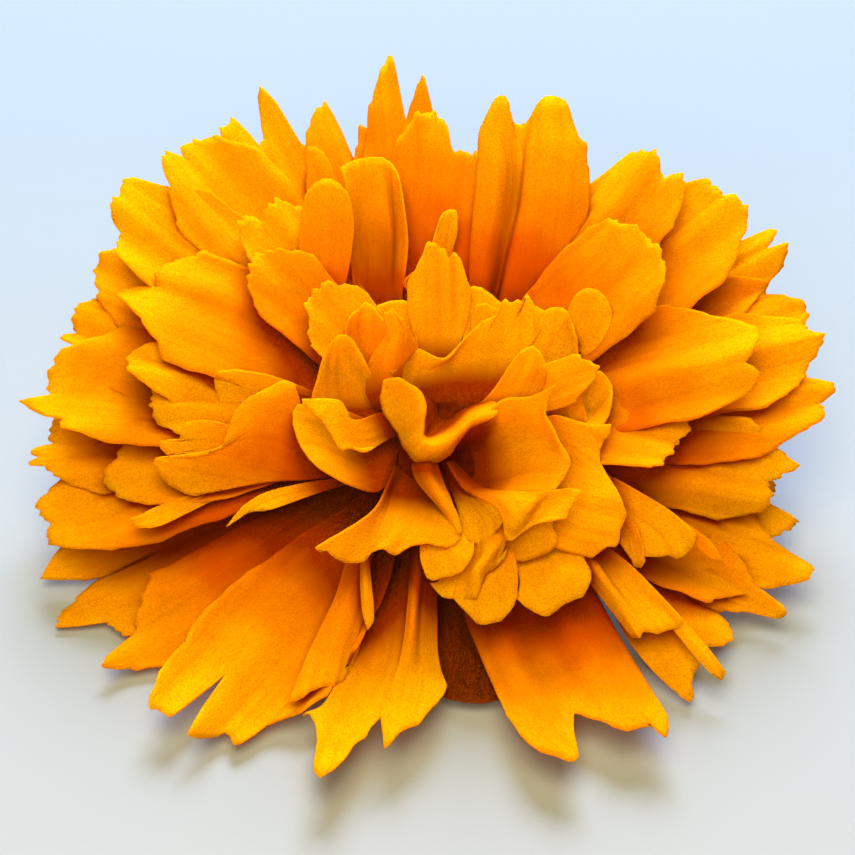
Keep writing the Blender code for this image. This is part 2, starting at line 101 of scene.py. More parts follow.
# how far along its colours, from root to margin, a petal starts
RIPE = {"A": 0.0, "B": 0.0, "C": 0.1, "D": 0.7}
TUFT_RIPE = 0.40
FOLDED_RIPE = 0.05
BACK_RIPE_AND_SHADE = -0.60              # folded petals at the back, whose lower halves stay deep orange, partly painted shade behind the tuft
# petals that start deeper orange stand partly for painted shade under the tuft; E starts yellowest, painted
# light
OWN_RIPE_LIGHT_AND_SHADE = {"Y": -0.5, "X": -0.3, "V34": -0.5, "E": 1.0, "pointed petal": -0.05,
            "broad petal in front": -0.75, "broad petal at the left": -0.45,
            "petal behind the hanging strip": -0.3}

# Shelter is painted shade: where other petals hide the sky over a petal, and at its root, its colour turns
# red brown and then dark.
SKY_RAYS = 48                  # directions in which the shelter over a petal is felt for
SKY_SPREAD = 0.88              # how far they lean out, as a share of level
SKY_LEAN = math.radians(-4)    # how far the whole fan of them leans back
SKY_REACH = 0.016              # how far they go, m
SKY_START = 0.0003             # how far over the petal they start, m
SKY_SLANT = 0.1                # least slant to the face of a ray that counts
SHELTER_STEP = 2               # every how many points of a petal it is felt for
SHELTER_SHARE = {"tuft_petals": 0.3, "inner_petals": 0.15}  # share of it that counts, where not all
TIP_BARE = 0.88                # how little of the shelter a petal's tip takes
ROOT_SHELTER = 0.7             # painted shade at the very root
ROOT_DEEP = 0.42               # share of the length over which it fades
TUFT_ROOT_DEEP = 0.62          # the same in the tuft, whose petals are shorter
SHADE_SHEETS = ("petal deep in the gap",)  # sheets painted wholly as shade
SHADE_SHEET_SHELTER = 0.9

# receptacle, turned about the axis: radius and height, top to bottom, mm
RECEPTACLE = [(0, 3.3), (1.8, 3.1), (3.6, 2.2), (4.9, 1.1), (5.4, 0.1), (5.1, -0.5), (3.4, -1.5), (0, -2.1)]
UNDER_PETALS = 9
UNDER_FIRST, UNDER_STEP = 56, 12.5  # azimuth of the first lower petal and from one to the next
UNDER_LENGTH, UNDER_RISE = (15.5, 17), (-8, -4)  # least and most, mm and degrees
UNDER_WIDTH, UNDER_BEND, UNDER_TROUGH = 7, 4, 10
UNDER_SEED = 7

# one disc floret along +Z: radius and height, mm, and share of its colours
FLORET = [(0.16, 0.0, 0.0), (0.17, 0.9, 0.2), (0.26, 1.7, 0.45), (0.30, 2.2, 0.6), (0.44, 2.62, 0.8),
          (0.34, 2.5, 0.75), (0.22, 2.3, 0.6), (0.15, 2.45, 0.9), (0.15, 3.1, 1.0), (0.05, 3.35, 1.0)]
FLORET_SIDES = 10
FLORET_LOBES = 5
FLORET_MOUTH = (4, 5)          # rings of the profile that are lobed
LOBE_DEPTH = 0.28
FLORET_SUNK = 0.5              # how far a floret's foot is under its place, mm
FLORET_RING = (3.0, 4.6)       # how far from the axis the florets stand, mm
FLORET_SECTOR = (55, 140)      # and between which azimuths, behind the tuft
FLORET_TOP, FLORET_FALL = 3.4, 0.09
FLORET_LEAN = 0.3              # most that a floret leans, rad
FLORET_SIZES = (0.3, 0.42)
FLORET_PLACE_SEED, FLORET_LOOK_SEED = 11, 3
FLORET_TURN = 2.4              # turn of each floret from the one before, rad

# inside of the cup of bracts, turned about the axis: radius and height, mm
CUP_INNER = [(5.9, -1.15), (3.6, -2.0), (0, -2.5)]
CUP_WALL = 0.7
CUP_RIM = 0.35                 # how much wider the cup is outside
STEM_TOP = -3.7
STEM_RADIUS = 1.35
STEM_SPARE = 1.5               # how far the stem goes under the table before it is cut level, mm
BRACT_GRID = (16, 11)          # rows and columns of a bract
BRACT_THICKNESS = 0.35
BRACT_FOOT = 0.62              # width of a bract's foot, as a share of the whole
BRACT_WIDEST = 0.45            # share of the length at which it is widest
BRACT_TIP_POWER = 0.6          # how blunt its tip is
BRACT_TIP = 0.03               # width left at the tip, as a share of the whole
# length, width, rise, bend, trough, root as radius and height, and how late the bract narrows
BROAD_BRACT = (5.6, 4.6, 22, -12, 14, (3.0, -2.75), 3)
SLIM_BRACT = (8.8, 2.5, 8, 10, 16, (0.8, STEM_TOP - 0.45), 4)
# first turn of a whorl of bracts in degrees, its unevenness and its seed
BROAD_WHORL = (11, 0.06, 2)
SLIM_WHORL = (33, 0.12, 5)
WHORL_SIZE, WHORL_TILT = 0.5, 0.6  # how much of the unevenness goes into size and into tilt
KEEL_HEIGHT, KEEL_WIDTH = 0.22, 0.18
# stem end, turned about the axis: radius, and how far under its top, mm
STEM_NECK = [(0, 0), (1.2, 0), (1.75, 0.35), (1.7, 1.0), (STEM_RADIUS, 1.9)]
ROUND_STEPS, CUP_STEPS = 48, 64  # steps round the axis
MERGE_DISTANCE = 0.00001       # m

# colours and patterns of the finishes, with pattern scales per metre
RELIEF_GROWTH = 1.4            # how much the ribs and crinkles grow from root to tip
CRINKLE_SCALE = 420.0
BLOTCH_SCALE, GRAIN_SCALE = 190.0, 11000.0
FLORET_GRAIN_SCALE, PIT_SCALE, SPECKLE_SCALE = 4000.0, 1500.0, 6000.0
MOTTLE_SCALE, BRACT_FIBRE_SCALE, STEM_FIBRE_SCALE = 700.0, 2200.0, 2600.0
STREAK_STRETCH = (2600, 130, 60)  # across, along and from petal to petal
VEIN_STRETCH = (4200, 160, 60)
PETAL_STOPS = (0.05, 0.31, 0.60, 0.88, 1.0)  # share of a petal's colours at which each stands
BLOTCH_SHIFT, TONE_SHIFT = 0.7, 0.22  # how far blotches and each petal's own tone shift them
# least and most of a value over which a tint comes in, and how much of it shows at each
# the pocket and deep bands paint shade on a petal from its shelter
POCKET_SHADE_BAND, DEEP_SHADE_BAND = (0.08, 0.38, 0, 0.97), (0.50, 0.95, 0, 0.9)
STREAK_BAND, GRAIN_BAND = (0.45, 0.75, 0, 0.22), (0.44, 0.66, 0, 0.6)
VEIN_SHARE = 0.45              # share of a petal's relief that is veins, the rest being grain
# strength and depth in m of each relief
PETAL_RELIEF, PLANT_RELIEF = (0.5, 0.00009), (0.6, 0.00012)
FLORET_RELIEF, PIT_RELIEF = (0.5, 0.00005), (0.8, 0.0001)
PAINTED_DEEP_SHADE = (0.03, 0.005, 0.0)   # painted shade where a petal lies deepest
PETAL_GRAIN = (0.44, 0.10, 0.0)
PETAL_GLOW = (0.95, 0.46, 0.001)  # what light takes on as it shines through
GLOW_SHARE = 0.62              # share of the light that does
FLORET_GRAIN, ANTHER_DARK = (0.35, 0.08, 0.0), (0.16, 0.05, 0.01)
# the receptacle's dark reds are partly painted shade, as dark as the hollow round it
PIT_COLOUR, RIDGE_COLOUR = (0.045, 0.004, 0.0), (0.065, 0.006, 0.0)
BRACT_DARK, STEM_DARK = (0.20, 0.13, 0.03), (0.045, 0.12, 0.02)

CAMERA_ELEVATION = math.radians(45)
CAMERA_DISTANCE = 190
CAMERA_SPAN = 57               # width of the view at the receptacle, mm
HEAD_PLACE = (437, 440)        # where the receptacle's middle is in the picture, px
PICTURE = 855
PER_PIXEL = CAMERA_SPAN / PICTURE
HEAD_SHIFT = (HEAD_PLACE[0] - PICTURE / 2, HEAD_PLACE[1] - PICTURE / 2)
SENSOR = 36
NEAREST_SEEN = 0.01            # m

# name, place, size and power of each lamp, and its colour
LAMPS = (("key", (0.03, 0.42, 0.34), 0.32, 12.0, (0.86, 0.95, 1.0)),
         ("high fill", (-0.02, -0.12, 0.56), 0.45, 6.5, (1.0, 0.82, 0.36)),
         ("front fill", (-0.08, -0.42, 0.40), 0.35, 2.8, (1.0, 0.86, 0.45)))
LAMP_AIM = Vector((0, 0, 0.01))
STUDIO_COLOUR = (1.0, 0.85, 0.60, 1)
STUDIO_STRENGTH = 0.12
FLOOR_HALF = 1.2               # half the floor's side, m
# partly painted light: the floor's own bluish white, made warmer at the front where light from the flower
# falls
FLOOR_FRONT, FLOOR_BACK = (0.184, 0.196, 0.250), (0.141, 0.180, 0.268)
FLOOR_SPECK = (0.12, 0.16, 0.2)
FLOOR_BAND = 0.04              # half the depth over which one turns to the other, m

# Petals, anticlockwise from the right as seen from above. Each row is name, whorl, azimuth,
# length, width, rise at the root, bend along the length, roll about the length, half angle of the
# trough across it, and the toothed edge as (side, reach) pairs. Side -1 is the clockwise margin
# and +1 the other, and reach is a share of the length.
PETALS = [
    # right and back right
    ("R5", "A", -10, 20.5, 7.0, -2, -16, 0, 10,
     [(-1, .78), (-.45, .92), (.1, 1), (.2, .85), (.6, .9), (1, .78)]),
    ("R34", "B", -8, 18.9, 7.0, 10, -22, 25, -30,
     [(-1, .8), (-.5, .98), (-.1, .95), (.3, 1.04), (.6, .95), (1, .85)]),
    ("R2", "B", 5, 22.1, 8.5, 6, -10, 0, 12,
     [(-1, .74), (-.65, .86), (-.2, .98), (0, .975), (.3, 1.03), (.5, .93), (.75, .95), (1, .8)]),
    ("C7", "B", 13, 21.6, 7.5, 8, -8, 0, 12,
     [(-1, .8), (-.7, .92), (-.2, 1), (.1, 1.04), (.3, 1), (.6, 1), (1, .8)]),
    ("C6", "A", 22, 22.2, 7.0, 6, -6, 0, 12,
     [(-1, .8), (-.5, .98), (-.1, 1.015), (.2, 1), (.5, .92), (.7, .93), (1, .78)]),
    ("C5", "A", 32, 22.8, 6.5, 6, -2, 8, 12,
     [(-1, .8), (-.65, .93), (-.2, 1.03), (-.05, .97), (.3, 1.03), (.4, .9), (.7, .88), (1, .78)]),
    ("C4", "B", 38, 21.5, 8.5, 14, -4, 8, 10,
     [(-1, .8), (-.65, .93), (-.15, 1.035), (.18, 1), (.4, 1.005), (.72, .93), (1, .8)]),
    ("C3", "B", 50.5, 19.6, 8.0, 18, 0, 0, 10,
     [(-1, .84), (-.6, 1.02), (-.25, .985), (.05, 1.035), (.5, 1), (.62, .87), (1, .7)]),
    ("Y", "B", 89, 18.3, 6.5, 20, 4, 0, 15,
     [(-1, .74), (-.72, .86), (-.2, .87), (-.12, .96), (.15, 1.015), (.6, 1), (1, .86)]),
    ("X", "A", 96, 23.0, 6.0, 12, 4, 0, 10,
     [(-1, .74), (-.7, .86), (-.6, .96), (-.3, .89), (-.1, .85), (0, .98), (.05, 1.04), (.4, .98),
      (.75, .87), (1, .7)]),
    # back left and left
    ("B23", "A", 107, 21.0, 6.5, 10, 2, 0, 10,
     [(-1, .7), (-.7, .85), (-.5, .925), (-.35, .86), (-.15, .82), (.07, 1.04), (.8, .88), (1, .74)]),
    ("B01", "A", 118, 23.0, 7.5, 10, 0, 0, 10,
     [(-1, .72), (-.52, .84), (-.45, 1), (-.32, 1.065), (-.2, 1.02), (.08, .91), (.2, .895), (.45, .99),
      (.75, .97), (1, .82)]),
    ("A1", "B", 131, 22.9, 8.0, 12, -2, 0, 10,
     [(-1, .84), (-.6, .965), (-.25, 1.015), (.05, .995), (.28, 1.015), (.64, .93), (1, .8)]),
    ("A2", "B", 143, 23.3, 8.5, 12, -4, 0, 10,
     [(-1, .8), (-.63, .92), (-.3, 1.035), (-.05, .995), (.2, 1.005), (.45, .92), (.8, .9), (1, .78)]),
    ("A3", "A", 151.5, 22.0, 7.0, 6, -4, 0, 10,
     [(-1, .85), (-.4, 1), (-.1, 1.01), (.3, .965), (.6, .94), (1, .8)]),
    ("L1", "A", 161, 21.7, 8.0, 8, -12, 0, 10,
     [(-1, .82), (-.55, .97), (-.15, 1.01), (.08, .98), (.3, 1.02), (.4, .93), (.75, .93), (1, .8)]),
    ("L2", "B", 172, 23.0, 9.0, 10, -18, 0, 10,
     [(-1, .78), (-.65, .89), (-.25, .975), (.12, .965), (.27, 1.035), (.6, .9), (.8, .88), (1, .76)]),
    ("BL4", "A", 180, 22.6, 7.5, 4, -16, 0, 10,
     [(-1, .8), (-.4, .965), (-.2, .95), (-.05, 1.01), (.1, .995), (.25, 1.01), (.4, .96), (.72, .91),
      (1, .78)]),
    ("BL5", "B", -170, 22.8, 8.5, 4, -22, 0, 10,
     [(-1, .8), (-.48, .93), (-.12, 1.005), (.27, .965), (.48, .99), (.75, .93), (1, .8)]),
    ("AL2", "A", -157, 22.0, 10.0, -14, 6, 0, 12,
     [(-1, .84), (-.75, 1), (-.6, 1.05), (-.27, .9), (.05, 1.04), (.28, 1.065), (.48, .92), (.78, .89),
      (1, .76)]),
    # front
    ("L9", "A", -145, 21.7, 7.0, -16, 18, 0, 10,
     [(-1, .74), (-.5, .84), (-.15, .9), (.12, 1.03), (.28, 1.015), (.75, .87), (1, .78)]),
    ("P1", "A", -125, 21.3, 10.0, -12, 22, 0, 15,
     [(-1, .86), (-.75, 1.04), (-.42, 1.03), (-.3, .79), (-.08, 1.05), (.18, .95), (.42, .965),
      (.56, .86), (.8, .78), (1, .7)]),
    ("V34", "A", -31, 20.4, 8.0, -16, 20, 0, 10,
     [(-1, .78), (-.55, .945), (-.15, .85), (.2, .92), (.46, 1.05), (.6, .9), (.8, .85), (1, .75)]),
    ("R6", "B", -20, 21.3, 9.5, -10, 2, 0, 10,
     [(-1, .76), (-.5, .88), (-.15, 1.02), (.08, 1.05), (.35, .9), (.65, .8), (1, .66)]),
    # middle of the head, right side first
    ("R1", "C", 11, 18.0, 8.5, 20, -14, 6, 12,
     [(-1, .74), (-.85, .88), (-.55, .99), (-.3, .965), (0, 1.02), (.2, 1.04), (.5, .98), (.75, .86),
      (1, .74)]),
    ("G1", "C", 35, 15.2, 7.6, 32, -8, 5, 12,
     [(-1, .85), (-.5, 1), (0, 1.03), (.5, 1), (.85, .95), (1, .85)]),
    ("D1", "B", 130, 15.6, 6.0, 22, 0, 0, 12, [(-1, .8), (-.4, .98), (.1, .96), (.5, 1), (1, .8)]),
    ("D2", "C", 141, 13.4, 5.5, 28, -6, 0, 15, [(-1, .8), (-.2, 1), (.5, .95), (1, .78)]),
    ("M1", "C", 155, 18.9, 9.0, 26, -32, 0, -8,
     [(-1, .86), (-.4, .97), (-.12, .95), (.1, 1.07), (.3, 1.05), (.5, .95), (.75, .86), (1, .78)]),
    ("M2", "C", 171, 18.0, 6.0, 16, -14, 0, -6,
     [(-1, .8), (-.3, .97), (0, .97), (.4, .88), (.8, .76), (1, .66)]),
    ("M3", "C", 177, 15.6, 5.0, 22, -30, 0, -10, [(-1, .85), (-.6, .96), (0, 1), (.5, .97), (1, .85)]),
    ("N1", "B", -171, 18.1, 6.0, 14, -30, 0, -8, [(-1, .86), (-.35, .995), (.1, 1), (.6, .9), (1, .78)]),
    ("R7", "C", -9, 12.9, 5.5, 26, -30, -8, 12, [(-1, .85), (-.7, .92), (0, .97), (.7, 1.03), (1, .85)]),
    ("G3", "D", 4, 9.5, 3.0, 44, -14, 20, 20, [(-1, .8), (.2, 1), (1, .85)]),
    # inner tuft
    ("E", "D", 89, 9.7, 4.2, 42, -4, 0, 14, [(-1, .68), (-.45, .93), (-.3, .9), (.2, 1), (1, .7)]),
    ("T6u", "D", 140, 9.6, 5.5, 36, 0, 0, 10, [(-1, .75), (-.2, 1), (.3, .98), (1, .75)]),
]

# The curled petals of the tuft, each a list of rows from root to tip. A row is a list of places
# across the petal: where it stands in the picture, px, and its height over the receptacle, mm.
TUFT = {
    "serrated fan": [
        [(425, 412, 3.0), (437, 406, 3.1), (450, 404, 3.1), (462, 408, 3.0), (470, 412, 2.8)],
        [(410, 399, 3.9), (432, 396, 3.4), (455, 392, 3.5), (478, 392, 3.7), (498, 392, 4.0)],
        [(397, 384, 5.0), (425, 374, 4.3), (455, 368, 4.2), (490, 360, 4.6), (520, 362, 5.0)],
        [(390, 371, 6.2), (402, 366, 5.8), (412, 353, 5.9), (420, 349, 5.9), (432, 355, 5.5),
         (441, 358, 5.3), (450, 355, 5.4), (462, 342, 5.6), (472, 331, 5.8), (484, 320, 6.1),
         (497, 315, 6.3), (500, 305, 6.5), (505, 298, 6.7), (511, 304, 6.5), (518, 299, 6.7),
         (523, 302, 6.6), (527, 293, 6.8), (534, 304, 6.6), (540, 318, 6.4), (541, 330, 6.2)]],
    "oval behind the cup": [
        [(460, 412, 3.0), (464, 410, 3.0), (468, 408, 3.0)],
        [(484, 400, 4.6), (505, 404, 4.1), (530, 402, 4.7)],
        [(497, 385, 5.8), (520, 382, 5.3), (543, 386, 5.9)],
        [(512, 362, 7.0), (528, 362, 6.5), (546, 368, 6.9)],
        [(521, 351, 7.5), (533, 346, 7.5), (542, 354, 7.3)]],
    "broad petal at the right": [
        [(462, 405, 3.0), (465, 408, 3.0), (468, 411, 3.0)],
        [(500, 395, 3.6), (522, 396, 3.8), (545, 402, 4.0)],
        [(530, 350, 5.2), (552, 352, 4.9), (577, 362, 5.2)],
        [(536, 306, 7.0), (545, 311, 6.9), (550, 308, 7.0), (556, 307, 7.0), (563, 308, 6.9),
         (569, 313, 6.8), (573, 325, 6.6), (577, 338, 6.3)]],
    "cup": [
        [(457, 462, 1.2), (456, 470, 0.9), (462, 480, 1.0)],
        [(460, 437, 5.4), (472, 455, 2.3), (476, 472, 1.7), (481, 488, 3.2)],
        [(481, 421, 6.1), (497, 440, 3.9), (503, 465, 3.1), (506, 491, 4.7)],
        [(505, 399, 7.0), (526, 425, 5.5), (535, 458, 4.7), (530, 492, 5.1)],
        [(532, 396, 7.4), (541, 422, 6.4), (556, 455, 5.4), (546, 492, 5.1)],
        [(556, 384, 8.2), (549, 398, 7.6), (546, 412, 7.2), (551, 425, 7.0), (558, 441, 6.6),
         (566, 451, 6.2), (571, 463, 5.8), (566, 475, 5.4), (556, 489, 5.2)]],
    "rolled collar": [
        [(437, 404, 3.2), (438, 408, 3.2), (438, 412, 3.2), (438, 416, 3.2), (440, 418, 3.2),
         (443, 420, 3.2), (447, 420, 3.2), (452, 418, 3.2), (456, 414, 3.1), (462, 410, 3.0),
         (466, 408, 2.9)],
        [(406, 384, 5.8), (419, 397, 5.6), (423, 412, 5.2), (424, 428, 4.8), (425, 438, 4.6),
         (430, 438, 4.6), (440, 434, 4.6), (450, 428, 4.8), (460, 420, 5.0), (474, 409, 5.2),
         (494, 402, 5.6)],
        [(397, 378, 7.0), (414, 391, 7.1), (421, 408, 7.0), (421, 427, 6.8), (422, 443, 6.5),
         (427, 446, 6.5), (439, 445, 6.5), (451, 440, 6.6), (461, 430, 6.7), (477, 418, 6.7),
         (497, 413, 6.8)],
        [(390, 378, 6.8), (396, 393, 6.6), (402, 412, 6.2), (411, 430, 6.0), (412, 446, 5.9),
         (420, 455, 5.8), (438, 455, 5.8), (450, 448, 6.0), (459, 436, 6.3), (474, 424, 6.4),
         (494, 417, 6.7)],
        [(384, 381, 6.3), (379, 398, 6.0), (383, 413, 5.4), (399, 432, 5.0), (402, 446, 4.8),
         (415, 462, 4.5), (436, 463, 4.5), (450, 455, 4.9), (456, 441, 5.5), (468, 429, 5.9),
         (490, 420, 6.4)]],
    "winged petal": [
        [(410, 420, 2.9), (406, 430, 2.8), (402, 440, 2.5)],
        [(383, 413, 4.8), (388, 425, 4.2), (392, 438, 3.5)],
        [(350, 418, 6.4), (358, 430, 5.8), (372, 448, 4.7)],
        [(338, 400, 6.9), (338, 418, 6.6), (344, 436, 6.0), (360, 451, 5.2)],
        [(302, 399, 7.3), (303, 405, 7.2), (312, 412, 7.0), (322, 421, 6.8), (331, 434, 6.4),
         (337, 446, 6.0), (342, 451, 5.8), (348, 449, 5.7), (355, 449, 5.6), (362, 452, 5.3),
         (368, 452, 5.1), (376, 447, 5.0)]],
    "forked petal": [
        [(400, 420, 2.9), (408, 412, 3.1), (416, 405, 3.2)],
        [(368, 398, 4.4), (390, 392, 5.0), (405, 389, 4.3)],
        [(367, 376, 5.2), (389, 370, 6.2), (411, 364, 5.1)],
        [(371, 358, 6.0), (391, 352, 7.1), (417, 349, 5.9)],
        [(387, 334, 7.2), (397, 332, 7.7), (410, 333, 6.9)],
        [(384, 320, 8.0), (384, 312, 8.2), (389, 312, 8.3), (392, 308, 8.4), (397, 314, 8.2),
         (402, 319, 8.0)]],
    "pointed petal": [
        [(412, 406, 3.0), (420, 401, 3.1), (426, 397, 3.1)],
        [(372, 372, 4.6), (384, 369, 4.2), (396, 366, 4.6)],
        [(348, 345, 6.1), (366, 342, 5.5), (389, 342, 6.0)],
        [(345, 326, 6.9), (366, 320, 6.3), (386, 324, 6.8)],
        [(349, 317, 7.3), (357, 310, 7.4), (366, 302, 7.6), (375, 308, 7.4), (383, 320, 7.1)]],
    "round petal": [
        [(405, 425, 2.7), (414, 416, 3.0), (420, 407, 3.1)],
        [(312, 400, 4.9), (350, 398, 3.9), (384, 396, 4.2)],
        [(318, 378, 5.8), (345, 374, 4.9), (372, 376, 5.4)],
        [(324, 355, 6.5), (344, 352, 6.0), (365, 361, 6.2)],
        [(331, 342, 6.8), (338, 335, 7.0), (346, 335, 7.0), (353, 340, 6.8), (361, 353, 6.4)]],
    "bowl at the left": [
        [(400, 440, 2.4), (398, 455, 2.2), (394, 472, 2.0)],
        [(378, 425, 3.6), (382, 455, 2.9), (379, 491, 3.4)],
        [(350, 412, 4.4), (352, 446, 3.3), (352, 486, 3.9)],
        [(320, 402, 5.1), (322, 432, 4.2), (322, 470, 4.6)],
        [(297, 405, 5.5), (293, 412, 5.4), (293, 424, 5.2), (297, 438, 5.0), (303, 450, 4.8),
         (310, 460, 4.7)]],
    "lip at the left": [
        [(396, 462, 1.9), (402, 466, 1.6), (412, 470, 1.6), (424, 472, 1.9), (436, 474, 2.2)],
        [(387, 484, 3.8), (398, 487, 2.1), (412, 488, 1.8), (427, 490, 2.3), (444, 492, 2.7)],
        [(374, 509, 4.8), (395, 509, 3.2), (420, 508, 2.9), (438, 508, 3.4), (452, 512, 3.6)],
        [(350, 527, 5.1), (375, 532, 4.2), (405, 530, 3.9), (436, 526, 4.1), (458, 524, 4.1)],
        [(315, 548, 4.7), (319, 552, 4.3), (326, 550, 4.4), (334, 558, 4.0), (345, 563, 3.6),
         (357, 563, 3.6), (366, 561, 3.6), (370, 554, 3.9), (377, 550, 4.1), (385, 549, 4.2),
         (390, 554, 3.9), (396, 555, 3.8), (404, 550, 3.9), (412, 546, 4.0), (428, 543, 4.1),
         (437, 546, 4.0), (446, 548, 3.8), (455, 545, 3.8), (462, 537, 3.8)]],
    "rolled margin of the lip": [
        [(417, 458, 3.6), (427, 457, 3.9), (436, 458, 3.6)],
        [(412, 468, 4.4), (427, 466, 5.2), (438, 467, 4.6)],
        [(417, 481, 4.5), (431, 480, 5.4), (443, 482, 4.7)],
        [(433, 500, 4.5), (442, 499, 5.2), (451, 500, 4.7)],
        [(448, 518, 4.3), (453, 518, 4.6), (458, 517, 4.4)],
        [(458, 534, 4.0), (460, 534, 4.1), (462, 533, 4.0)]],
    "petal under the lip": [
        [(441, 462, 2.4), (444, 462, 3.6), (447, 462, 4.7)],
        [(450, 488, 2.8), (456, 486, 3.8), (462, 485, 5.1)],
        [(458, 510, 3.2), (470, 506, 4.0), (482, 499, 5.3)],
        [(461, 528, 3.4), (478, 526, 3.8), (500, 512, 5.3)],
        [(463, 540, 3.4), (472, 542, 3.4), (480, 545, 3.3), (488, 540, 3.6), (496, 532, 4.0),
         (503, 522, 4.7)]],
    "lip at the right": [
        [(447, 462, 4.5), (450, 461, 4.1), (453, 460, 3.4)],
        [(470, 492, 5.3), (477, 490, 4.9), (484, 488, 4.2)],
        [(500, 513, 5.4), (507, 501, 5.7), (512, 491, 5.1)],
        [(508, 541, 4.3), (520, 520, 5.2), (530, 505, 5.5), (534, 492, 5.4)],
        [(530, 526, 4.6), (540, 512, 4.5), (544, 502, 4.7), (552, 490, 5.3)],
        [(548, 520, 5.0), (566, 518, 5.3), (570, 507, 5.6), (575, 500, 5.8), (582, 491, 6.1),
         (570, 488, 5.8)]],
    "shaded petal": [
        [(470, 480, 1.5), (475, 478, 1.7), (480, 476, 1.9)],
        [(500, 530, 3.0), (520, 515, 4.0), (538, 505, 4.6)],
        [(505, 548, 2.5), (528, 535, 3.4), (552, 520, 4.2)],
        [(509, 558, 2.3), (522, 562, 2.2), (536, 558, 2.4), (548, 553, 2.7), (556, 547, 3.0),
         (558, 538, 3.4), (553, 528, 3.9)]],
    "shoulder at the right": [
        [(478, 462, 1.8), (484, 455, 1.9), (488, 448, 2.0)],
        [(520, 520, 2.6), (530, 490, 2.8), (535, 460, 3.0), (535, 430, 3.6)],
        [(556, 548, 2.9), (568, 515, 3.3), (572, 475, 3.7), (570, 440, 4.3), (556, 415, 5.0)],
        [(580, 555, 3.0), (594, 525, 3.8), (594, 490, 4.2), (586, 455, 4.4), (588, 424, 5.0)],
        [(592, 558, 3.0), (600, 552, 3.3), (608, 546, 3.6), (616, 547, 3.6), (620, 540, 3.8),
         (620, 530, 4.0), (627, 515, 4.2), (622, 500, 4.4), (617, 490, 4.4), (608, 476, 4.4),
         (600, 462, 4.4), (600, 450, 4.6), (604, 441, 4.8), (610, 434, 5.2), (611, 424, 5.4)]],
    "round lobe in front": [
        [(468, 470, 1.4), (473, 468, 1.4), (478, 466, 1.4)],
        [(500, 540, 1.4), (520, 530, 1.6), (540, 520, 1.9)],
        [(519, 575, 1.8), (546, 562, 2.0), (578, 545, 2.9)],
        [(519, 590, 1.9), (550, 588, 2.5), (586, 562, 2.7)],
        [(516, 598, 1.8), (524, 606, 1.8), (534, 612, 1.9), (542, 616, 1.9), (549, 616, 1.9),
         (556, 611, 1.9), (563, 605, 2.0), (574, 600, 2.0), (583, 597, 2.1), (588, 588, 2.3),
         (591, 580, 2.4), (591, 570, 2.5)]],
    "low lobe in front": [
        [(450, 470, 1.8), (455, 470, 1.8), (460, 470, 1.8)],
        [(465, 560, 2.2), (490, 550, 2.6), (512, 545, 2.6)],
        [(456, 588, 2.2), (486, 583, 2.7), (518, 573, 2.6)],
        [(453, 598, 2.0), (460, 606, 2.0), (468, 614, 1.9), (477, 624, 1.8), (484, 625, 1.8),
         (493, 623, 1.8), (501, 621, 1.9), (508, 614, 2.0), (514, 606, 2.1), (517, 596, 2.2)]],
    "ridged petal in front": [
        [(448, 475, 1.7), (451, 475, 1.8), (455, 474, 1.9)],
        [(455, 535, 2.1), (475, 530, 3.0), (497, 520, 3.6)],
        [(447, 563, 1.9), (470, 560, 2.6), (490, 550, 4.2), (507, 538, 3.6)],
        [(438, 582, 1.8), (460, 582, 2.3), (480, 570, 3.7), (500, 558, 3.2)],
        [(430, 583, 1.9), (436, 591, 1.8), (442, 597, 1.8), (449, 599, 1.8), (456, 598, 1.9),
         (466, 599, 2.3), (477, 598, 2.6), (480, 588, 2.8), (486, 575, 2.9), (496, 568, 3.0),
         (505, 558, 3.1), (507, 548, 3.3)]],
    "petal with a lit margin": [
        [(436, 470, 2.2), (440, 470, 2.3), (444, 470, 2.4)],
        [(423, 530, 2.9), (440, 528, 3.2), (460, 525, 3.6)],
        [(420, 552, 3.1), (440, 552, 3.4), (468, 541, 3.9)],
        [(422, 565, 3.0), (427, 578, 2.8), (433, 581, 2.8), (442, 578, 3.0), (452, 576, 3.1),
         (462, 572, 3.4), (469, 563, 3.7), (474, 553, 3.8), (474, 541, 3.8)]],
    "small petal behind the fork": [
        [(418, 402, 3.0), (423, 400, 3.0), (428, 398, 3.0)],
        [(392, 345, 4.4), (404, 342, 4.2), (418, 345, 4.4)],
        [(372, 312, 5.0), (378, 305, 5.2), (390, 301, 5.3), (403, 300, 5.3), (413, 304, 5.2),
         (418, 315, 5.0)]],
    "small petal beside the upright one": [
        [(452, 398, 3.0), (456, 400, 3.0), (460, 402, 3.0)],
        [(462, 345, 4.2), (474, 342, 4.2), (486, 345, 4.2)],
        [(468, 288, 5.4), (474, 286, 5.5), (482, 288, 5.4), (492, 295, 5.2), (502, 304, 5.0),
         (504, 315, 4.8)]],
    "lower petal beside the upright one": [
        [(456, 400, 3.1), (459, 402, 3.1), (462, 404, 3.1)],
        [(468, 350, 4.4), (480, 348, 4.4), (492, 350, 4.4)],
        [(472, 318, 5.4), (476, 304, 5.8), (486, 303, 5.8), (496, 308, 5.6), (503, 318, 5.2)]],
    "small pointed petal": [
        [(490, 430, 2.4), (492, 427, 2.4), (494, 424, 2.4)],
        [(530, 402, 3.4), (545, 405, 3.2), (556, 412, 3.3)],
        [(550, 397, 4.3), (556, 385, 4.7), (563, 373, 5.2), (568, 381, 5.0), (574, 395, 4.6),
         (579, 408, 4.2)]],
    "upright petal at the right": [
        [(492, 432, 2.4), (494, 427, 2.4), (496, 422, 2.4)],
        [(552, 424, 3.4), (560, 412, 3.1), (560, 398, 3.6)],
        [(585, 426, 4.2), (596, 405, 4.0), (588, 384, 4.9)],
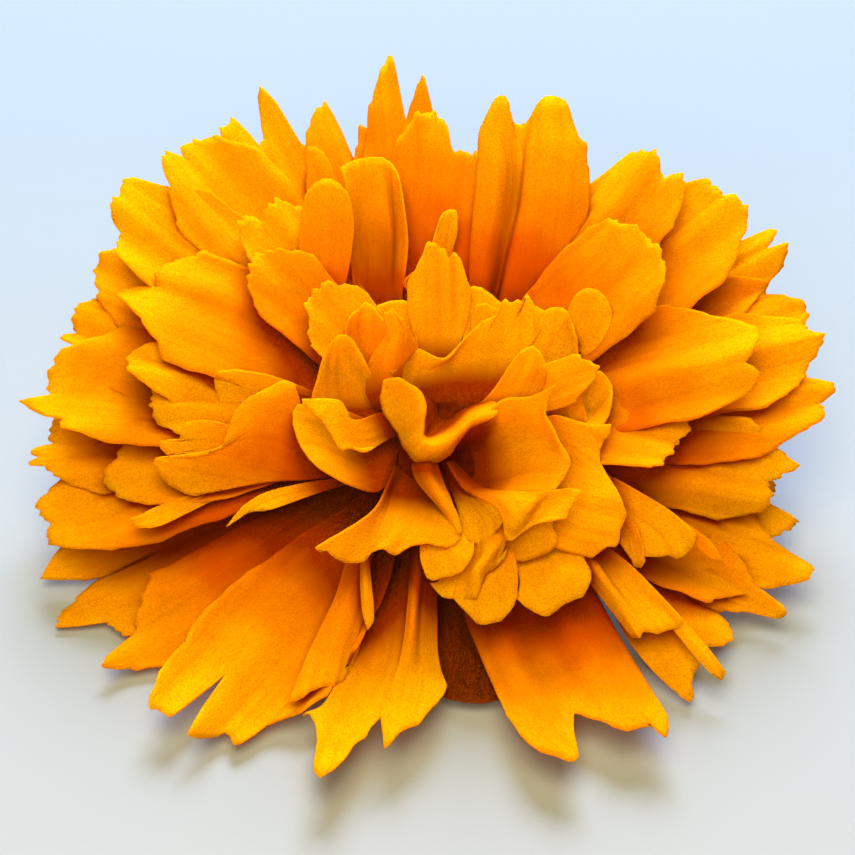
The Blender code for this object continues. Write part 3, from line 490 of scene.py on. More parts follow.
        [(595, 430, 4.4), (604, 423, 4.6), (609, 414, 4.8), (612, 400, 5.2), (611, 385, 5.4),
         (606, 376, 5.6), (600, 371, 5.8), (592, 374, 5.7), (585, 378, 5.6)]],
    "petal seen edge on": [
        [(500, 428, 2.6), (502, 430, 2.5), (504, 432, 2.4)],
        [(556, 402, 4.4), (560, 412, 3.9), (564, 422, 3.4)],
        [(580, 373, 6.2), (581, 388, 5.6), (583, 404, 4.9), (588, 421, 4.2)]],
}

# Folded petals lower in the head that the rule above can't bend, written like those of the tuft.
FOLDED = {
    "broad petal at the left": [
        [(374, 462, 0.9), (369, 450, 0.9), (367, 438, 0.9)],
        [(325, 478, 1.4), (318, 460, 2.2), (315, 435, 3.2)],
        [(268, 482, 1.9), (262, 455, 3.3), (270, 420, 4.6), (298, 394, 5.0)],
        [(207, 493, 1.8), (196, 496, 1.7), (185, 494, 1.8), (170, 486, 2.1), (158, 475, 2.5),
         (152, 465, 2.9), (156, 457, 3.2), (170, 456, 3.4), (190, 457, 3.5), (205, 455, 3.6),
         (214, 449, 3.9), (222, 449, 4.0), (226, 436, 4.4), (230, 422, 4.7), (237, 408, 5.0),
         (248, 398, 5.2), (260, 392, 5.3), (272, 386, 5.4), (280, 381, 5.5), (288, 380, 5.4),
         (296, 385, 5.2)]],
    "small petal behind the broad one": [
        [(368, 440, 0.9), (367, 432, 0.9), (367, 424, 0.9)],
        [(300, 440, 2.2), (298, 428, 2.5), (298, 416, 2.8)],
        [(222, 453, 2.9), (218, 438, 3.4), (226, 424, 3.8)],
        [(205, 453, 3.0), (190, 454, 2.9), (178, 453, 2.9), (168, 456, 2.8), (160, 448, 3.0),
         (160, 441, 3.2), (170, 441, 3.3), (179, 441, 3.4), (182, 428, 3.7), (188, 421, 3.9),
         (200, 420, 4.0), (210, 420, 4.0), (222, 425, 4.0)]],
    "petal with a lit upper rim": [
        [(367, 430, 0.9), (368, 420, 0.9), (370, 411, 0.9)],
        [(318, 412, 2.8), (316, 402, 3.1), (316, 392, 3.4)],
        [(262, 410, 3.1), (262, 392, 4.0), (272, 376, 4.8)],
        [(227, 426, 2.9), (221, 413, 3.3), (219, 400, 3.8), (215, 388, 4.3), (214, 378, 4.7),
         (218, 371, 5.0), (228, 370, 5.1), (240, 371, 5.2)]],
    "petal on edge at the left": [
        [(383, 470, 0.9), (384, 472, 0.8), (386, 474, 0.7)],
        [(340, 478, 1.5), (342, 481, 1.4), (344, 485, 1.2)],
        [(300, 484, 2.3), (302, 491, 2.2), (304, 498, 2.1)],
        [(262, 494, 2.8), (266, 501, 2.7), (272, 509, 2.6)],
        [(244, 505, 2.8), (236, 514, 2.7), (226, 527, 2.4), (238, 515, 2.5), (256, 510, 2.6)]],
    "low narrow petal at the left": [
        [(380, 468, 0.4), (382, 471, 0.3), (384, 474, 0.2)],
        [(300, 480, 0.8), (302, 486, 0.7), (304, 492, 0.6)],
        [(215, 489, 1.2), (217, 493, 1.2), (220, 498, 1.1)],
        [(185, 497, 1.4), (188, 503, 1.4), (192, 511, 1.3)],
        [(150, 510, 1.5), (153, 517, 1.5), (160, 526, 1.4)],
        [(140, 515, 1.5), (130, 519, 1.4), (131, 524, 1.3), (140, 528, 1.3), (150, 528, 1.3)]],
    "petal behind the hanging strip": [
        [(393, 484, 0.8), (398, 488, 0.8), (404, 490, 0.8)],
        [(352, 545, 0.4), (362, 549, 0.7), (374, 552, 0.2)],
        [(334, 600, -0.4), (348, 602, 0.0), (366, 604, -0.8)],
        [(312, 645, -1.0), (335, 646, -0.6), (361, 640, -1.4)],
        [(288, 703, -1.3), (296, 701, -1.2), (304, 697, -1.1), (311, 691, -1.1), (322, 687, -1.1),
         (334, 686, -1.2), (345, 681, -1.5), (352, 666, -1.8)]],
    "pointed petal in front": [
        [(398, 490, 0.5), (408, 494, 0.5), (418, 496, 0.5)],
        [(366, 560, -1.2), (388, 564, -1.9), (412, 562, -1.3)],
        [(360, 612, -1.7), (385, 614, -2.3), (410, 612, -1.7)],
        [(345, 662, -1.6), (372, 664, -2.1), (403, 662, -1.2)],
        [(325, 702, -1.0), (355, 704, -1.2), (388, 702, -0.7)],
        [(303, 716, -0.6), (309, 712, -0.6), (315, 724, -0.3), (317, 741, 0.1), (315, 757, 0.5),
         (314, 771, 0.8), (320, 778, 1.0), (334, 770, 0.8), (345, 758, 0.5), (354, 743, 0.2),
         (366, 737, 0.1), (371, 726, -0.2), (380, 716, -0.4), (386, 706, -0.5)]],
    "petal beside the gap": [
        [(414, 496, 0.8), (424, 497, 0.8), (434, 497, 0.8)],
        [(411, 560, 0.4), (418, 560, 1.0), (426, 562, 0.3), (437, 574, -0.8)],
        [(407, 612, -0.2), (413, 612, 0.3), (421, 612, -0.6), (437, 616, -1.6)],
        [(401, 655, -0.6), (407, 655, -0.5), (420, 655, -1.2), (438, 656, -1.7)],
        [(388, 696, -0.6), (403, 692, -0.6), (425, 686, -0.9), (446, 684, -1.2)],
        [(380, 716, -0.4), (383, 735, 0.0), (384, 749, 0.3), (390, 744, 0.2), (400, 732, 0.0),
         (410, 727, -0.2), (419, 724, -0.3), (428, 712, -0.5), (438, 702, -0.7), (445, 692, -0.9),
         (447, 684, -1.1)]],
    "broad petal in front": [
        [(444, 497, 0.7), (458, 495, 0.7), (472, 489, 0.7)],
        [(452, 560, -0.8), (484, 556, -0.2), (512, 553, -0.8), (540, 546, 0.0), (562, 540, -0.2)],
        [(463, 612, -1.6), (492, 610, -0.7), (522, 607, -1.8), (560, 602, -0.5), (594, 590, -0.8)],
        [(478, 650, -1.9), (508, 650, -1.0), (537, 648, -2.1), (577, 642, -0.8), (620, 638, -1.4)],
        [(494, 688, -1.5), (527, 692, -0.7), (560, 684, -1.7), (602, 682, -0.6), (645, 680, -1.3)],
        [(508, 716, -0.9), (520, 735, -0.3), (530, 745, 0.0), (541, 752, 0.2), (552, 754, 0.3),
         (562, 758, 0.5), (572, 762, 0.7), (579, 757, 0.5), (577, 745, 0.1), (573, 730, -0.4),
         (574, 713, -0.9), (588, 717, -0.6), (603, 720, -0.4), (614, 727, -0.2), (628, 731, -0.1),
         (641, 727, -0.2), (653, 726, -0.2), (660, 733, 0.0), (666, 739, 0.2), (669, 730, -0.1),
         (668, 718, -0.4), (658, 702, -0.9)]],
    "two lobed petal at the back": [
        [(458, 380, 1.0), (463, 378, 0.9), (468, 378, 0.8), (473, 380, 0.9), (478, 382, 1.0)],
        [(468, 300, 3.2), (480, 300, 3.2), (496, 296, 2.1), (504, 296, 3.5), (524, 300, 3.4),
         (545, 305, 2.6), (562, 310, 2.0)],
        [(470, 252, 4.5), (484, 250, 4.7), (506, 250, 3.5), (514, 250, 5.0), (540, 252, 5.0),
         (562, 262, 3.9), (574, 275, 3.0)],
        [(474, 204, 5.7), (492, 202, 6.1), (517, 200, 4.8), (525, 200, 6.2), (552, 200, 6.5),
         (576, 208, 5.7), (588, 220, 4.9)],
        [(478, 162, 6.6), (494, 156, 7.2), (521, 154, 6.1), (530, 154, 7.3), (556, 152, 7.8),
         (578, 158, 7.2), (589, 170, 6.5)],
        [(480, 150, 6.8), (480, 131, 7.2), (485, 118, 7.6), (492, 103, 8.1), (497, 95, 8.4),
         (507, 96, 8.4), (510, 109, 8.0), (511, 121, 7.4), (518, 125, 7.2), (526, 123, 7.3),
         (533, 116, 7.6), (540, 102, 8.2), (547, 95, 8.5), (559, 97, 8.5), (567, 101, 8.3),
         (572, 114, 8.0), (575, 128, 7.7), (579, 140, 7.4), (587, 143, 7.3), (586, 158, 6.9),
         (588, 170, 6.5)]],
    "hollow petal at the back": [
        [(404, 378, 1.0), (412, 376, 0.7), (420, 374, 1.0)],
        [(356, 298, 3.3), (372, 302, 2.1), (388, 302, 2.0), (402, 296, 3.2)],
        [(352, 270, 4.2), (370, 272, 2.9), (388, 272, 2.6), (400, 271, 4.3), (405, 274, 4.5)],
        [(350, 240, 5.2), (368, 240, 3.9), (388, 240, 3.5), (402, 240, 5.3), (408, 242, 5.6)],
        [(348, 212, 6.0), (366, 208, 5.1), (385, 205, 4.9), (399, 208, 6.2), (405, 212, 6.5)],
        [(345, 185, 6.8), (362, 178, 6.4), (382, 175, 6.2), (396, 180, 6.9), (401, 188, 7.0)],
        [(340, 168, 7.1), (347, 163, 7.2), (354, 160, 7.2), (362, 158, 7.2), (372, 157, 7.2),
         (382, 158, 7.2), (390, 162, 7.2), (396, 169, 7.2), (399, 178, 7.2)]],
    "hooked petal at the back": [
        [(428, 374, 1.0), (434, 373, 0.9), (440, 372, 1.0)],
        [(420, 302, 3.2), (434, 302, 3.1), (450, 302, 3.2)],
        [(404, 281, 4.4), (420, 275, 4.1), (438, 270, 3.9), (452, 266, 4.0)],
        [(426, 261, 5.0), (434, 258, 4.7), (444, 255, 4.5), (453, 250, 4.5)],
        [(434, 236, 5.7), (441, 235, 5.5), (449, 233, 5.3), (457, 232, 5.2)],
        [(440, 218, 6.3), (444, 212, 6.3), (450, 209, 6.3), (456, 210, 6.2), (458, 217, 6.0)]],
    "upright petal at the back": [
        [(392, 386, 1.0), (398, 384, 0.8), (404, 382, 1.0)],
        [(303, 302, 4.1), (325, 305, 3.5), (343, 305, 3.9)],
        [(299, 258, 5.8), (326, 260, 5.3), (350, 262, 5.6)],
        [(301, 220, 7.0), (326, 218, 6.9), (354, 222, 6.8)],
        [(305, 197, 7.5), (328, 192, 7.6), (350, 198, 7.3)],
        [(308, 191, 7.6), (314, 184, 7.8), (322, 179, 7.9), (331, 179, 7.8), (340, 184, 7.7),
         (347, 192, 7.4)]],
    "oval petal at the right": [
        [(480, 390, 1.3), (483, 392, 1.2), (486, 395, 1.1)],
        [(543, 350, 4.8), (556, 356, 4.5), (568, 364, 4.5)],
        [(564, 320, 6.4), (582, 330, 5.9), (597, 347, 5.9)],
        [(571, 302, 7.2), (590, 310, 6.8), (608, 330, 6.6)],
        [(577, 293, 7.6), (587, 288, 7.8), (598, 290, 7.7), (606, 298, 7.5), (612, 310, 7.1),
         (611, 322, 6.8)]],
    # a dark sheet standing for the shade in the gap under the head, painted wholly as shade
    "petal deep in the gap": [
        [(425, 500, -0.6), (440, 500, -0.8), (455, 500, -0.6)],
        [(428, 560, -2.6), (448, 560, -3.0), (470, 560, -2.6)],
        [(428, 610, -3.2), (452, 612, -3.5), (482, 610, -3.2)],
        [(430, 655, -2.6), (460, 658, -2.8), (500, 655, -2.6)],
        [(432, 690, -1.9), (448, 699, -1.7), (465, 703, -1.7), (482, 704, -1.7), (504, 700, -1.8)]],
    "hanging strip in front": [
        [(408, 487, 0.6), (411, 488, 0.6), (414, 489, 0.6)],
        [(363, 552, 1.2), (366, 552, 1.4), (369, 552, 1.2)],
        [(361, 590, 0.9), (366, 592, 1.2), (372, 594, 0.9)],
        [(363, 615, 0.5), (368, 630, 0.3), (374, 621, 0.4)]],
    "folded petal at the right": [
        [(496, 458, 0.9), (498, 463, 0.9), (496, 468, 0.9)],
        [(590, 468, 2.6), (592, 480, 2.2), (594, 494, 1.8)],
        [(640, 492, 3.2), (640, 515, 2.5), (636, 540, 1.8)],
        [(672, 512, 3.1), (666, 532, 2.4), (645, 551, 1.6)],
        [(697, 534, 2.8), (694, 545, 2.4), (690, 550, 2.2), (684, 556, 2.0), (677, 559, 1.8),
         (668, 555, 1.8), (660, 557, 1.6), (650, 557, 1.5), (641, 556, 1.4)]],
    "curled tooth at the right": [
        [(655, 500, 2.6), (655, 508, 2.3), (654, 516, 2.0)],
        [(688, 524, 2.7), (690, 532, 2.5), (690, 541, 2.2)],
        [(705, 537, 2.4), (704, 544, 2.0), (702, 551, 1.6)],
        [(716, 548, 1.8), (723, 562, 1.0), (712, 558, 1.1)]],
    "narrow petal at the right": [
        [(492, 466, 0.8), (493, 468, 0.8), (494, 470, 0.8)],
        [(590, 512, 1.9), (594, 508, 2.2), (598, 504, 2.5)],
        [(621, 535, 1.8), (628, 530, 2.3), (635, 525, 2.9)],
        [(620, 543, 1.6), (626, 552, 1.4), (633, 562, 1.1), (634, 567, 1.0), (641, 568, 1.1),
         (645, 562, 1.5), (643, 550, 2.1), (640, 540, 2.5)]],
    "grooved petal at the lower right": [
        [(478, 480, 0.8), (481, 478, 0.8), (485, 476, 0.8)],
        [(545, 540, 0.8), (551, 532, 1.2), (559, 528, 0.7), (566, 526, 0.7), (575, 524, 0.9)],
        [(588, 582, 0.9), (593, 562, 2.2), (603, 566, 1.2), (618, 566, 1.0), (632, 566, 1.3)],
        [(608, 606, 0.5), (612, 588, 1.8), (622, 592, 0.9), (640, 592, 0.8), (656, 590, 1.1)],
        [(632, 638, 0.0), (640, 638, 0.6), (643, 632, 0.7), (650, 632, 0.5), (658, 634, 0.4),
         (665, 631, 0.5), (672, 629, 0.5), (680, 627, 0.5), (684, 620, 0.8)]],
    "lit strip at the lower right": [
        [(489, 474, 0.6), (488, 476, 0.6), (487, 477, 0.6)],
        [(655, 596, 0.1), (651, 599, 0.0), (647, 602, -0.1)],
        [(684, 620, 0.3), (680, 626, 0.3), (675, 632, 0.2)],
        [(706, 645, 0.1), (702, 652, 0.1), (696, 658, -0.2)],
        [(726, 672, -0.5), (722, 680, -0.7), (714, 677, -0.7)]],
    "shaded petal at the lower right": [
        [(478, 482, 0.5), (482, 479, 0.5), (486, 476, 0.5)],
        [(600, 585, -0.3), (615, 578, -0.1), (630, 570, 0.1)],
        [(628, 640, -1.0), (645, 622, -0.5), (668, 610, -0.2)],
        [(650, 668, -1.6), (668, 652, -1.1), (690, 645, -0.8)],
        [(672, 690, -2.0), (682, 700, -2.1), (690, 705, -2.1), (694, 698, -2.0), (692, 685, -1.8),
         (693, 675, -1.6), (700, 665, -1.3)]],
}


def measure(name, description, default, precision):
    """A length that a user would change."""
    return bpy.props.FloatProperty(
        name=name, description=description, default=default, unit="LENGTH", precision=precision)


def whole_number(name, description, default, least):
    """A whole number that a user would change."""
    return bpy.props.IntProperty(name=name, description=description, default=default, min=least)


class FlowerSizes(bpy.types.PropertyGroup):
    """Sizes a user would change."""
    petal_thickness: measure("Petal thickness", "Thickness of a petal", 0.00013, 5)
    petal_columns: whole_number("Petal columns", "Even steps across a petal", 34, 8)
    petal_rows: whole_number("Petal rows", "Steps along a petal", 34, 8)
    tuft_columns: whole_number("Shaped petal columns", "Steps across a tuft or folded petal", 45, 8)
    tuft_rows: whole_number("Shaped petal rows", "Steps along a tuft or folded petal", 33, 8)
    fold_depth: bpy.props.FloatProperty(
        name="Fold depth", description="Depth of the long folds, as a share of the petal's width",
        default=0.034)
    rib_depth: measure("Rib depth", "Height of the fine long ribs", 0.000010, 6)
    rib_spacing: measure("Rib spacing", "Distance between the fine long ribs", 0.00075, 5)
    crinkle_depth: measure("Crinkle depth", "Depth of the uneven crinkles", 0.00010, 5)
    disc_florets: whole_number("Disc florets", "Small florets between the inner petals", 18, 1)
    inner_bracts: whole_number("Inner bracts", "Broad bracts in the cup under the head", 8, 3)
    outer_bracts: whole_number("Outer bracts", "Narrow bracts at the top of the stem", 8, 3)


def colour(name, description, default):
    """A colour that a user would change."""
    return bpy.props.FloatVectorProperty(
        name=name, description=description, subtype="COLOR", size=3, default=default, min=0, max=1)


class FlowerColours(bpy.types.PropertyGroup):
    """Colours a user would change."""
    # painted shade: the red brown of a petal where others shelter it
    pocket_painted_shade: colour("Pocket painted shade", "Red brown of petals deep among the others", (0.24, 0.012, 0.0002))
    petal_root: colour("Petal root", "Deep orange at a petal's root", (0.42, 0.030, 0.0003))
    petal_throat: colour("Petal throat", "Burnt orange of a petal's lower third", (0.64, 0.105, 0.0003))
    petal_body: colour("Petal body", "Orange along a petal", (0.76, 0.275, 0.0003))
    petal_tip: colour("Petal tip", "Golden yellow at a petal's tip", (0.81, 0.395, 0.0005))
    petal_margin: colour("Petal margin", "Clear yellow of a petal's thin outer margin", (0.84, 0.460, 0.0005))
    floret: colour("Disc floret", "Amber of the disc florets", (0.80, 0.22, 0.01))
    inner_bract: colour("Inner bract", "Straw green of the cup's bracts", (0.36, 0.33, 0.08))
    stem: colour("Stem", "Green of the stem and the outer bracts", (0.10, 0.22, 0.04))


def sizes():
    return bpy.context.scene.flower_sizes


def colours():
    return bpy.context.scene.flower_colours


def lean_and_lift(points):
    """Flower frame in mm to the table's frame in metres."""
    x, y, z = points[..., 0], points[..., 1], points[..., 2] + LIFT
    cos, sin = math.cos(LEAN), math.sin(LEAN)
    return np.stack([x, y * cos - z * sin, y * sin + z * cos], -1) * MM


def lie_on_table(points):
    """Bend up, smoothly, what would reach under the table."""
    out = points.copy()
    soft = TABLE_SOFT * MM
    height = points[..., 2] - TABLE_GAP * MM
    bent = (height + soft) ** 2 / (4 * soft)
    out[..., 2] = TABLE_GAP * MM + np.where(height > soft, height, np.where(height < -soft, 0, bent))
    return out


def place_mesh(mesh):
    """Lean and lift a mesh that was made in the flower frame, in metres."""
    turn = Matrix.Rotation(LEAN, 4, "X")
    mesh.transform(turn @ Matrix.Translation((0, 0, LIFT * MM)))


def tooth_reach(edge, sides):
    """Share of the length reached at each side: rounded teeth and sharp notches."""
    at = np.array([pair[0] for pair in edge], float)
    reach = np.array([pair[1] for pair in edge], float)
    out = np.interp(sides, at, reach)
    last = len(edge) - 1
    for i in range(last):
        here, there = reach[i], reach[i + 1]
        inside = (sides >= at[i]) & (sides <= at[i + 1])
        share = (sides[inside] - at[i]) / (at[i + 1] - at[i])
        if i > 0 and here >= reach[i - 1] and here > there:
            out[inside] = here - (here - there) * share ** TOOTH_POWER
        elif i + 1 < last and there >= reach[i + 2] and there > here:
            out[inside] = there - (there - here) * (1 - share) ** TOOTH_POWER
    return out


def petal_frame(root, azimuth, length, rise, bend, roll, shares):
    """Middle line of a petal and the directions across it and out of its face, at given shares."""
    azimuth, rise, bend, roll = (math.radians(angle) for angle in (azimuth, rise, bend, roll))
    along = (np.arange(LINE_STEPS) + 0.5) / LINE_STEPS * LINE_REACH
    ends = np.arange(LINE_STEPS + 1) / LINE_STEPS * LINE_REACH
    step = length * LINE_REACH / LINE_STEPS
    out = np.array([math.cos(azimuth), math.sin(azimuth), 0])
    side = np.array([-math.sin(azimuth), math.cos(azimuth), 0])
    up = np.array([0, 0, 1])

    def gone(parts):
        return np.interp(shares, ends, np.concatenate([[0], np.cumsum(parts)]) * step)[..., None]

    slope = rise + bend * along
    line = (root[0] + gone(np.cos(slope))) * out + (root[1] + gone(np.sin(slope))) * up
    slope = (rise + bend * shares)[..., None]
    normal = np.cos(slope) * up - np.sin(slope) * out
    across = side * math.cos(roll) + normal * math.sin(roll)
    facing = normal * math.cos(roll) - side * math.sin(roll)
    return line, across, facing


def troughed(half, angle, sides):
    """How far out and up a blade's places are, given half its width and half its trough's angle."""
    return half * np.sin(angle * sides) / angle, half * (1 - np.cos(angle * sides)) / angle


def long_waves(draw, waves, sides, shares):
    """Waves across a petal, given as (number, share), that drift as they run along it."""
    height = np.zeros_like(shares)
    for number, share in waves:
        phase, drift = draw.uniform(0, TURN), draw.uniform(*WAVE_DRIFT)
        height = height + share * np.cos(math.pi * number * sides + phase + drift * shares)
    return height


def fold_heights(draw, sides, shares, edge, length, width):
    """Height of the long folds, the grooves from the notches and the rippled margins, mm."""
    grown = np.clip(shares * FOLD_GROWTH, 0, 1)
    height = long_waves(draw, FOLD_WAVES, sides, shares) * (sizes().fold_depth * width * grown)
    notches = [b for a, b, c in zip(edge, edge[1:], edge[2:]) if b[1] < a[1] and b[1] < c[1]]
    for place, _ in notches:
        height -= NOTCH_GROOVE * np.exp(-((sides - place) / NOTCH_WIDTH) ** 2) * np.clip(shares, 0, 1) ** 2
    for margin in (-1, 1):
        ripple = np.sin(shares * length * draw.uniform(0.8, 1.3) + draw.uniform(*PHASE))
        near = np.clip(sides * margin - RIPPLE_FROM, 0, 1) ** 2 * RIPPLE_GAIN
        height += draw.uniform(*RIPPLE_HEIGHT) * ripple * near * grown
    for place, _ in edge[1:-1]:
        near = np.exp(-((sides - place) / TOOTH_WIDTH) ** 2)
        height += draw.uniform(-0.5, 0.5) * near * np.clip(shares - TIP_FROM, 0, 1) ** 2 * TIP_CURL
    return height


def margin_wave(draw, shares, length):
    """Slight waver of a petal's outline along one margin, as a share of its width."""
    waver = np.zeros_like(shares)
    for per_mm, share in MARGIN_WAVES:
        turns = shares * length * per_mm * draw.uniform(0.8, 1.2)
        waver = waver + share * np.sin(turns + draw.uniform(*PHASE))
    return MARGIN_WAVER * waver


def petal_points(row):
    """Grid of points on a petal's middle surface with its ripeness and its place across and along."""
    name, whorl, azimuth, length, width, rise, bend, roll, trough, edge = row
    draw = random.Random(name)
    even = np.linspace(-1, 1, sizes().petal_columns)
    sides = np.unique(np.round(np.concatenate([even, [place for place, _ in edge]]), 4))
    ragged = sum(draw.uniform(0.4, 1) * np.sin(sides * per_mm * width + draw.uniform(*PHASE))
                 for per_mm in RAGGED_WAVES)
    reach = tooth_reach(edge, sides) + RAGGED / length * ragged
    shares = np.linspace(0, 1, sizes().petal_rows)[:, None] * reach[None, :]
    sides = np.broadcast_to(sides, shares.shape)
    line, across, facing = petal_frame(WHORLS[whorl], azimuth, length, rise, bend, roll, shares)
    low, high = margin_wave(draw, shares, length), margin_wave(draw, shares, length)
    swell = np.sin(np.clip(shares / WIDEST, 0, 1) * math.pi / 2)
    swell = swell * (1 + low * (1 - sides) / 2 + high * (1 + sides) / 2)
    half = width / 2 * (CLAW + (1 - CLAW) * swell)
    opened = np.clip(TROUGH_ROOT + (1 - TROUGH_ROOT) * shares, 0, 1)
    lateral, raised = troughed(half, math.radians(trough) * opened, sides)
    raised = raised + fold_heights(draw, sides, shares, edge, length, width)
    points = line + lateral[..., None] * across + raised[..., None] * facing
    first_ripe = OWN_RIPE_LIGHT_AND_SHADE.get(name, RIPE[whorl])
    ripe = first_ripe + (1 - first_ripe) * shares
    return lie_on_table(lean_and_lift(points)), ripe, sides * half * MM, shares * length * MM


def under_petal_rows():
    """Rows for the lower petals behind the head, drawn in the same order as the solid's."""
    draw = random.Random(UNDER_SEED)
    rows = []
    for k in range(UNDER_PETALS):
        azimuth = UNDER_FIRST + k * UNDER_STEP + draw.uniform(-2, 2)
        notch = draw.uniform(-.3, .3)
        edge = [(-1, .78), (notch - .3, 1), (notch, .92), (notch + .3, 1.02), (1, .8)]
        long, rise = draw.uniform(*UNDER_LENGTH), draw.uniform(*UNDER_RISE)
        rows.append((f"under {k}", "A", azimuth, long, UNDER_WIDTH, rise, UNDER_BEND, 0, UNDER_TROUGH, edge))
    return rows


def place_seen(pixel):
    """Place in the flower frame, mm, of a point seen at a pixel of the picture at a given height."""
    across, down, height = pixel
    elevation = CAMERA_ELEVATION + LEAN
    right = np.array([1, 0, 0])
    up = np.array([0, math.sin(elevation), math.cos(elevation)])
    back = np.array([0, -math.cos(elevation), math.sin(elevation)])
    aim = (up * HEAD_SHIFT[1] - right * HEAD_SHIFT[0]) * PER_PIXEL
    eye = aim + back * CAMERA_DISTANCE
    target = aim + (right * (across - PICTURE / 2) - up * (down - PICTURE / 2)) * PER_PIXEL
    ray = target - eye
    return eye + ray * (height - eye[2]) / ray[2]


def raised_place(name, pixel):
    """The same point seen, standing higher where the petal's tip is raised."""
    if name not in RAISED:
        return pixel
    across, down, height = pixel
    most, first, last, power = RAISED[name]
    share = min(1, max(0, (down - first) / (last - first)))
    return across, down, round(height + most * share ** power, 1)


def curve_through(knots, values, at):
    """Smooth curve through values at uneven knots, read at the given places."""
    knots, values = np.asarray(knots, float), np.asarray(values, float)
    steps = np.diff(knots)
    slopes = np.diff(values, axis=0) / steps.reshape(-1, *[1] * (values.ndim - 1))
    tangents = np.empty_like(values)
    tangents[0], tangents[-1] = slopes[0], slopes[-1]
    for i in range(1, len(knots) - 1):
        before, after = steps[i - 1], steps[i]
        tangents[i] = (slopes[i - 1] * after + slopes[i] * before) / (before + after)
    at = np.asarray(at, float)
    i = np.clip(np.searchsorted(knots, at, side="right") - 1, 0, len(knots) - 2)
    shape = (-1,) + (1,) * (values.ndim - 1)
    step = steps[i].reshape(shape)
    t = ((at - knots[i]) / steps[i]).reshape(shape)
    start, end = values[i], values[i + 1]
    return ((2 * t ** 3 - 3 * t ** 2 + 1) * start + (t ** 3 - 2 * t ** 2 + t) * step * tangents[i]
            + (3 * t ** 2 - 2 * t ** 3) * end + (t ** 3 - t ** 2) * step * tangents[i + 1])


def lengths_along(points):
    """Length along a row of places up to each of them."""
    return np.concatenate([[0], np.cumsum(np.linalg.norm(np.diff(points, axis=0), axis=1))])


def even_row(points, count, sharp):
    """A row's places respaced evenly along it, rounded between them or, for a toothed tip, straight."""
    points = np.array(points)
    if not sharp:
        knots = lengths_along(points)
        points = curve_through(knots, points, np.linspace(0, knots[-1], 200))
    knots = lengths_along(points)
    at = np.linspace(0, knots[-1], count)
    return np.stack([np.interp(at, knots, points[:, k]) for k in range(3)], -1)


def out_of_sheet(points):
    """Directions square to a sheet at each of its points."""
    facing = np.cross(np.gradient(points, axis=0), np.gradient(points, axis=1))
    return facing / np.maximum(np.linalg.norm(facing, axis=2), 1e-12)[..., None]


def shaped_points(name, rows, first_ripe):
    """Grid of points on a shaped petal's middle surface with its ripeness and its place across and along."""
    draw = random.Random(name)
    first_ripe = OWN_RIPE_LIGHT_AND_SHADE.get(name, first_ripe)
    columns, levels = sizes().tuft_columns, sizes().tuft_rows
    places = [[place_seen(raised_place(name, pixel)) for pixel in row] for row in rows]
    lines = np.array([even_row(row, columns, row is places[-1]) for row in places])
    gaps = np.linalg.norm(np.diff(lines, axis=0), axis=2).mean(1)
    knots = np.concatenate([[0], np.cumsum(gaps)])
    points = curve_through(knots, lines, np.linspace(0, knots[-1], levels))
    shares = np.broadcast_to(np.linspace(0, 1, levels)[:, None], points.shape[:2])
    sides = np.broadcast_to(np.linspace(-1, 1, columns)[None, :], points.shape[:2])
    widths = np.linalg.norm(np.diff(points, axis=1), axis=2).sum(1)[:, None]
    raised = long_waves(draw, SHAPED_WAVES, sides, shares) * SHAPED_FOLD * widths * shares
    points = points + out_of_sheet(points) * raised[..., None]
    ripe = first_ripe + (1 - first_ripe) * shares ** 0.8
    return lie_on_table(lean_and_lift(points)), ripe, sides * widths / 2 * MM, shares * knots[-1] * MM


def folded_ripe(name):
    return BACK_RIPE_AND_SHADE if name.endswith("at the back") else FOLDED_RIPE


def all_petals():
    """Every petal's grid by its name, sorted into the pieces of the scene."""
    pieces = {piece: {row[0]: petal_points(row) for row in PETALS if row[1] == whorl}
              for whorl, piece in WHORL_PIECES.items()}
    pieces["tuft_petals"] = {name: shaped_points(name, rows, TUFT_RIPE) for name, rows in TUFT.items()}
    pieces["folded_petals"] = {
        name: shaped_points(name, rows, folded_ripe(name)) for name, rows in FOLDED.items()}
    pieces["under_petals"] = {row[0]: petal_points(row) for row in under_petal_rows()}
    return pieces


def sky_rays():
    """Directions spread over the sky, as light falls on a level face."""
    golden = math.pi * (3 - math.sqrt(5))
    back = Matrix.Rotation(SKY_LEAN, 3, "X")
    rays = []
    for k in range(SKY_RAYS):
        lean, turn = SKY_SPREAD * math.sqrt((k + 0.5) / SKY_RAYS), golden * k
        rays.append(back @ Vector((lean * math.cos(turn), lean * math.sin(turn), math.sqrt(1 - lean ** 2))))
    return rays


def grid_faces(first, height, width):
    """Quads of a grid of points whose first point has the given number."""
    corners = [first + i * width + j for i in range(height - 1) for j in range(width - 1)]
    return [(a, a + 1, a + width + 1, a + width) for a in corners]


def joined_grids(grids):
    """Points and quads of several grids of points as one."""
    verts, faces = [], []
    for points in grids:
        faces += grid_faces(len(verts), *points.shape[:2])
        verts += [tuple(p) for p in points.reshape(-1, 3)]
    return verts, faces


def sky_hidden(head, rays, place, normal):
    """Share of the sky over a place that the petals near it hide."""
    start = Vector(place) + normal * SKY_START
    seen = [ray for ray in rays if ray.dot(normal) > SKY_SLANT]
    gaps = [head.ray_cast(start, ray, SKY_REACH)[3] for ray in seen]
    return sum(1 - gap / SKY_REACH for gap in gaps if gap is not None) / max(1, len(seen))


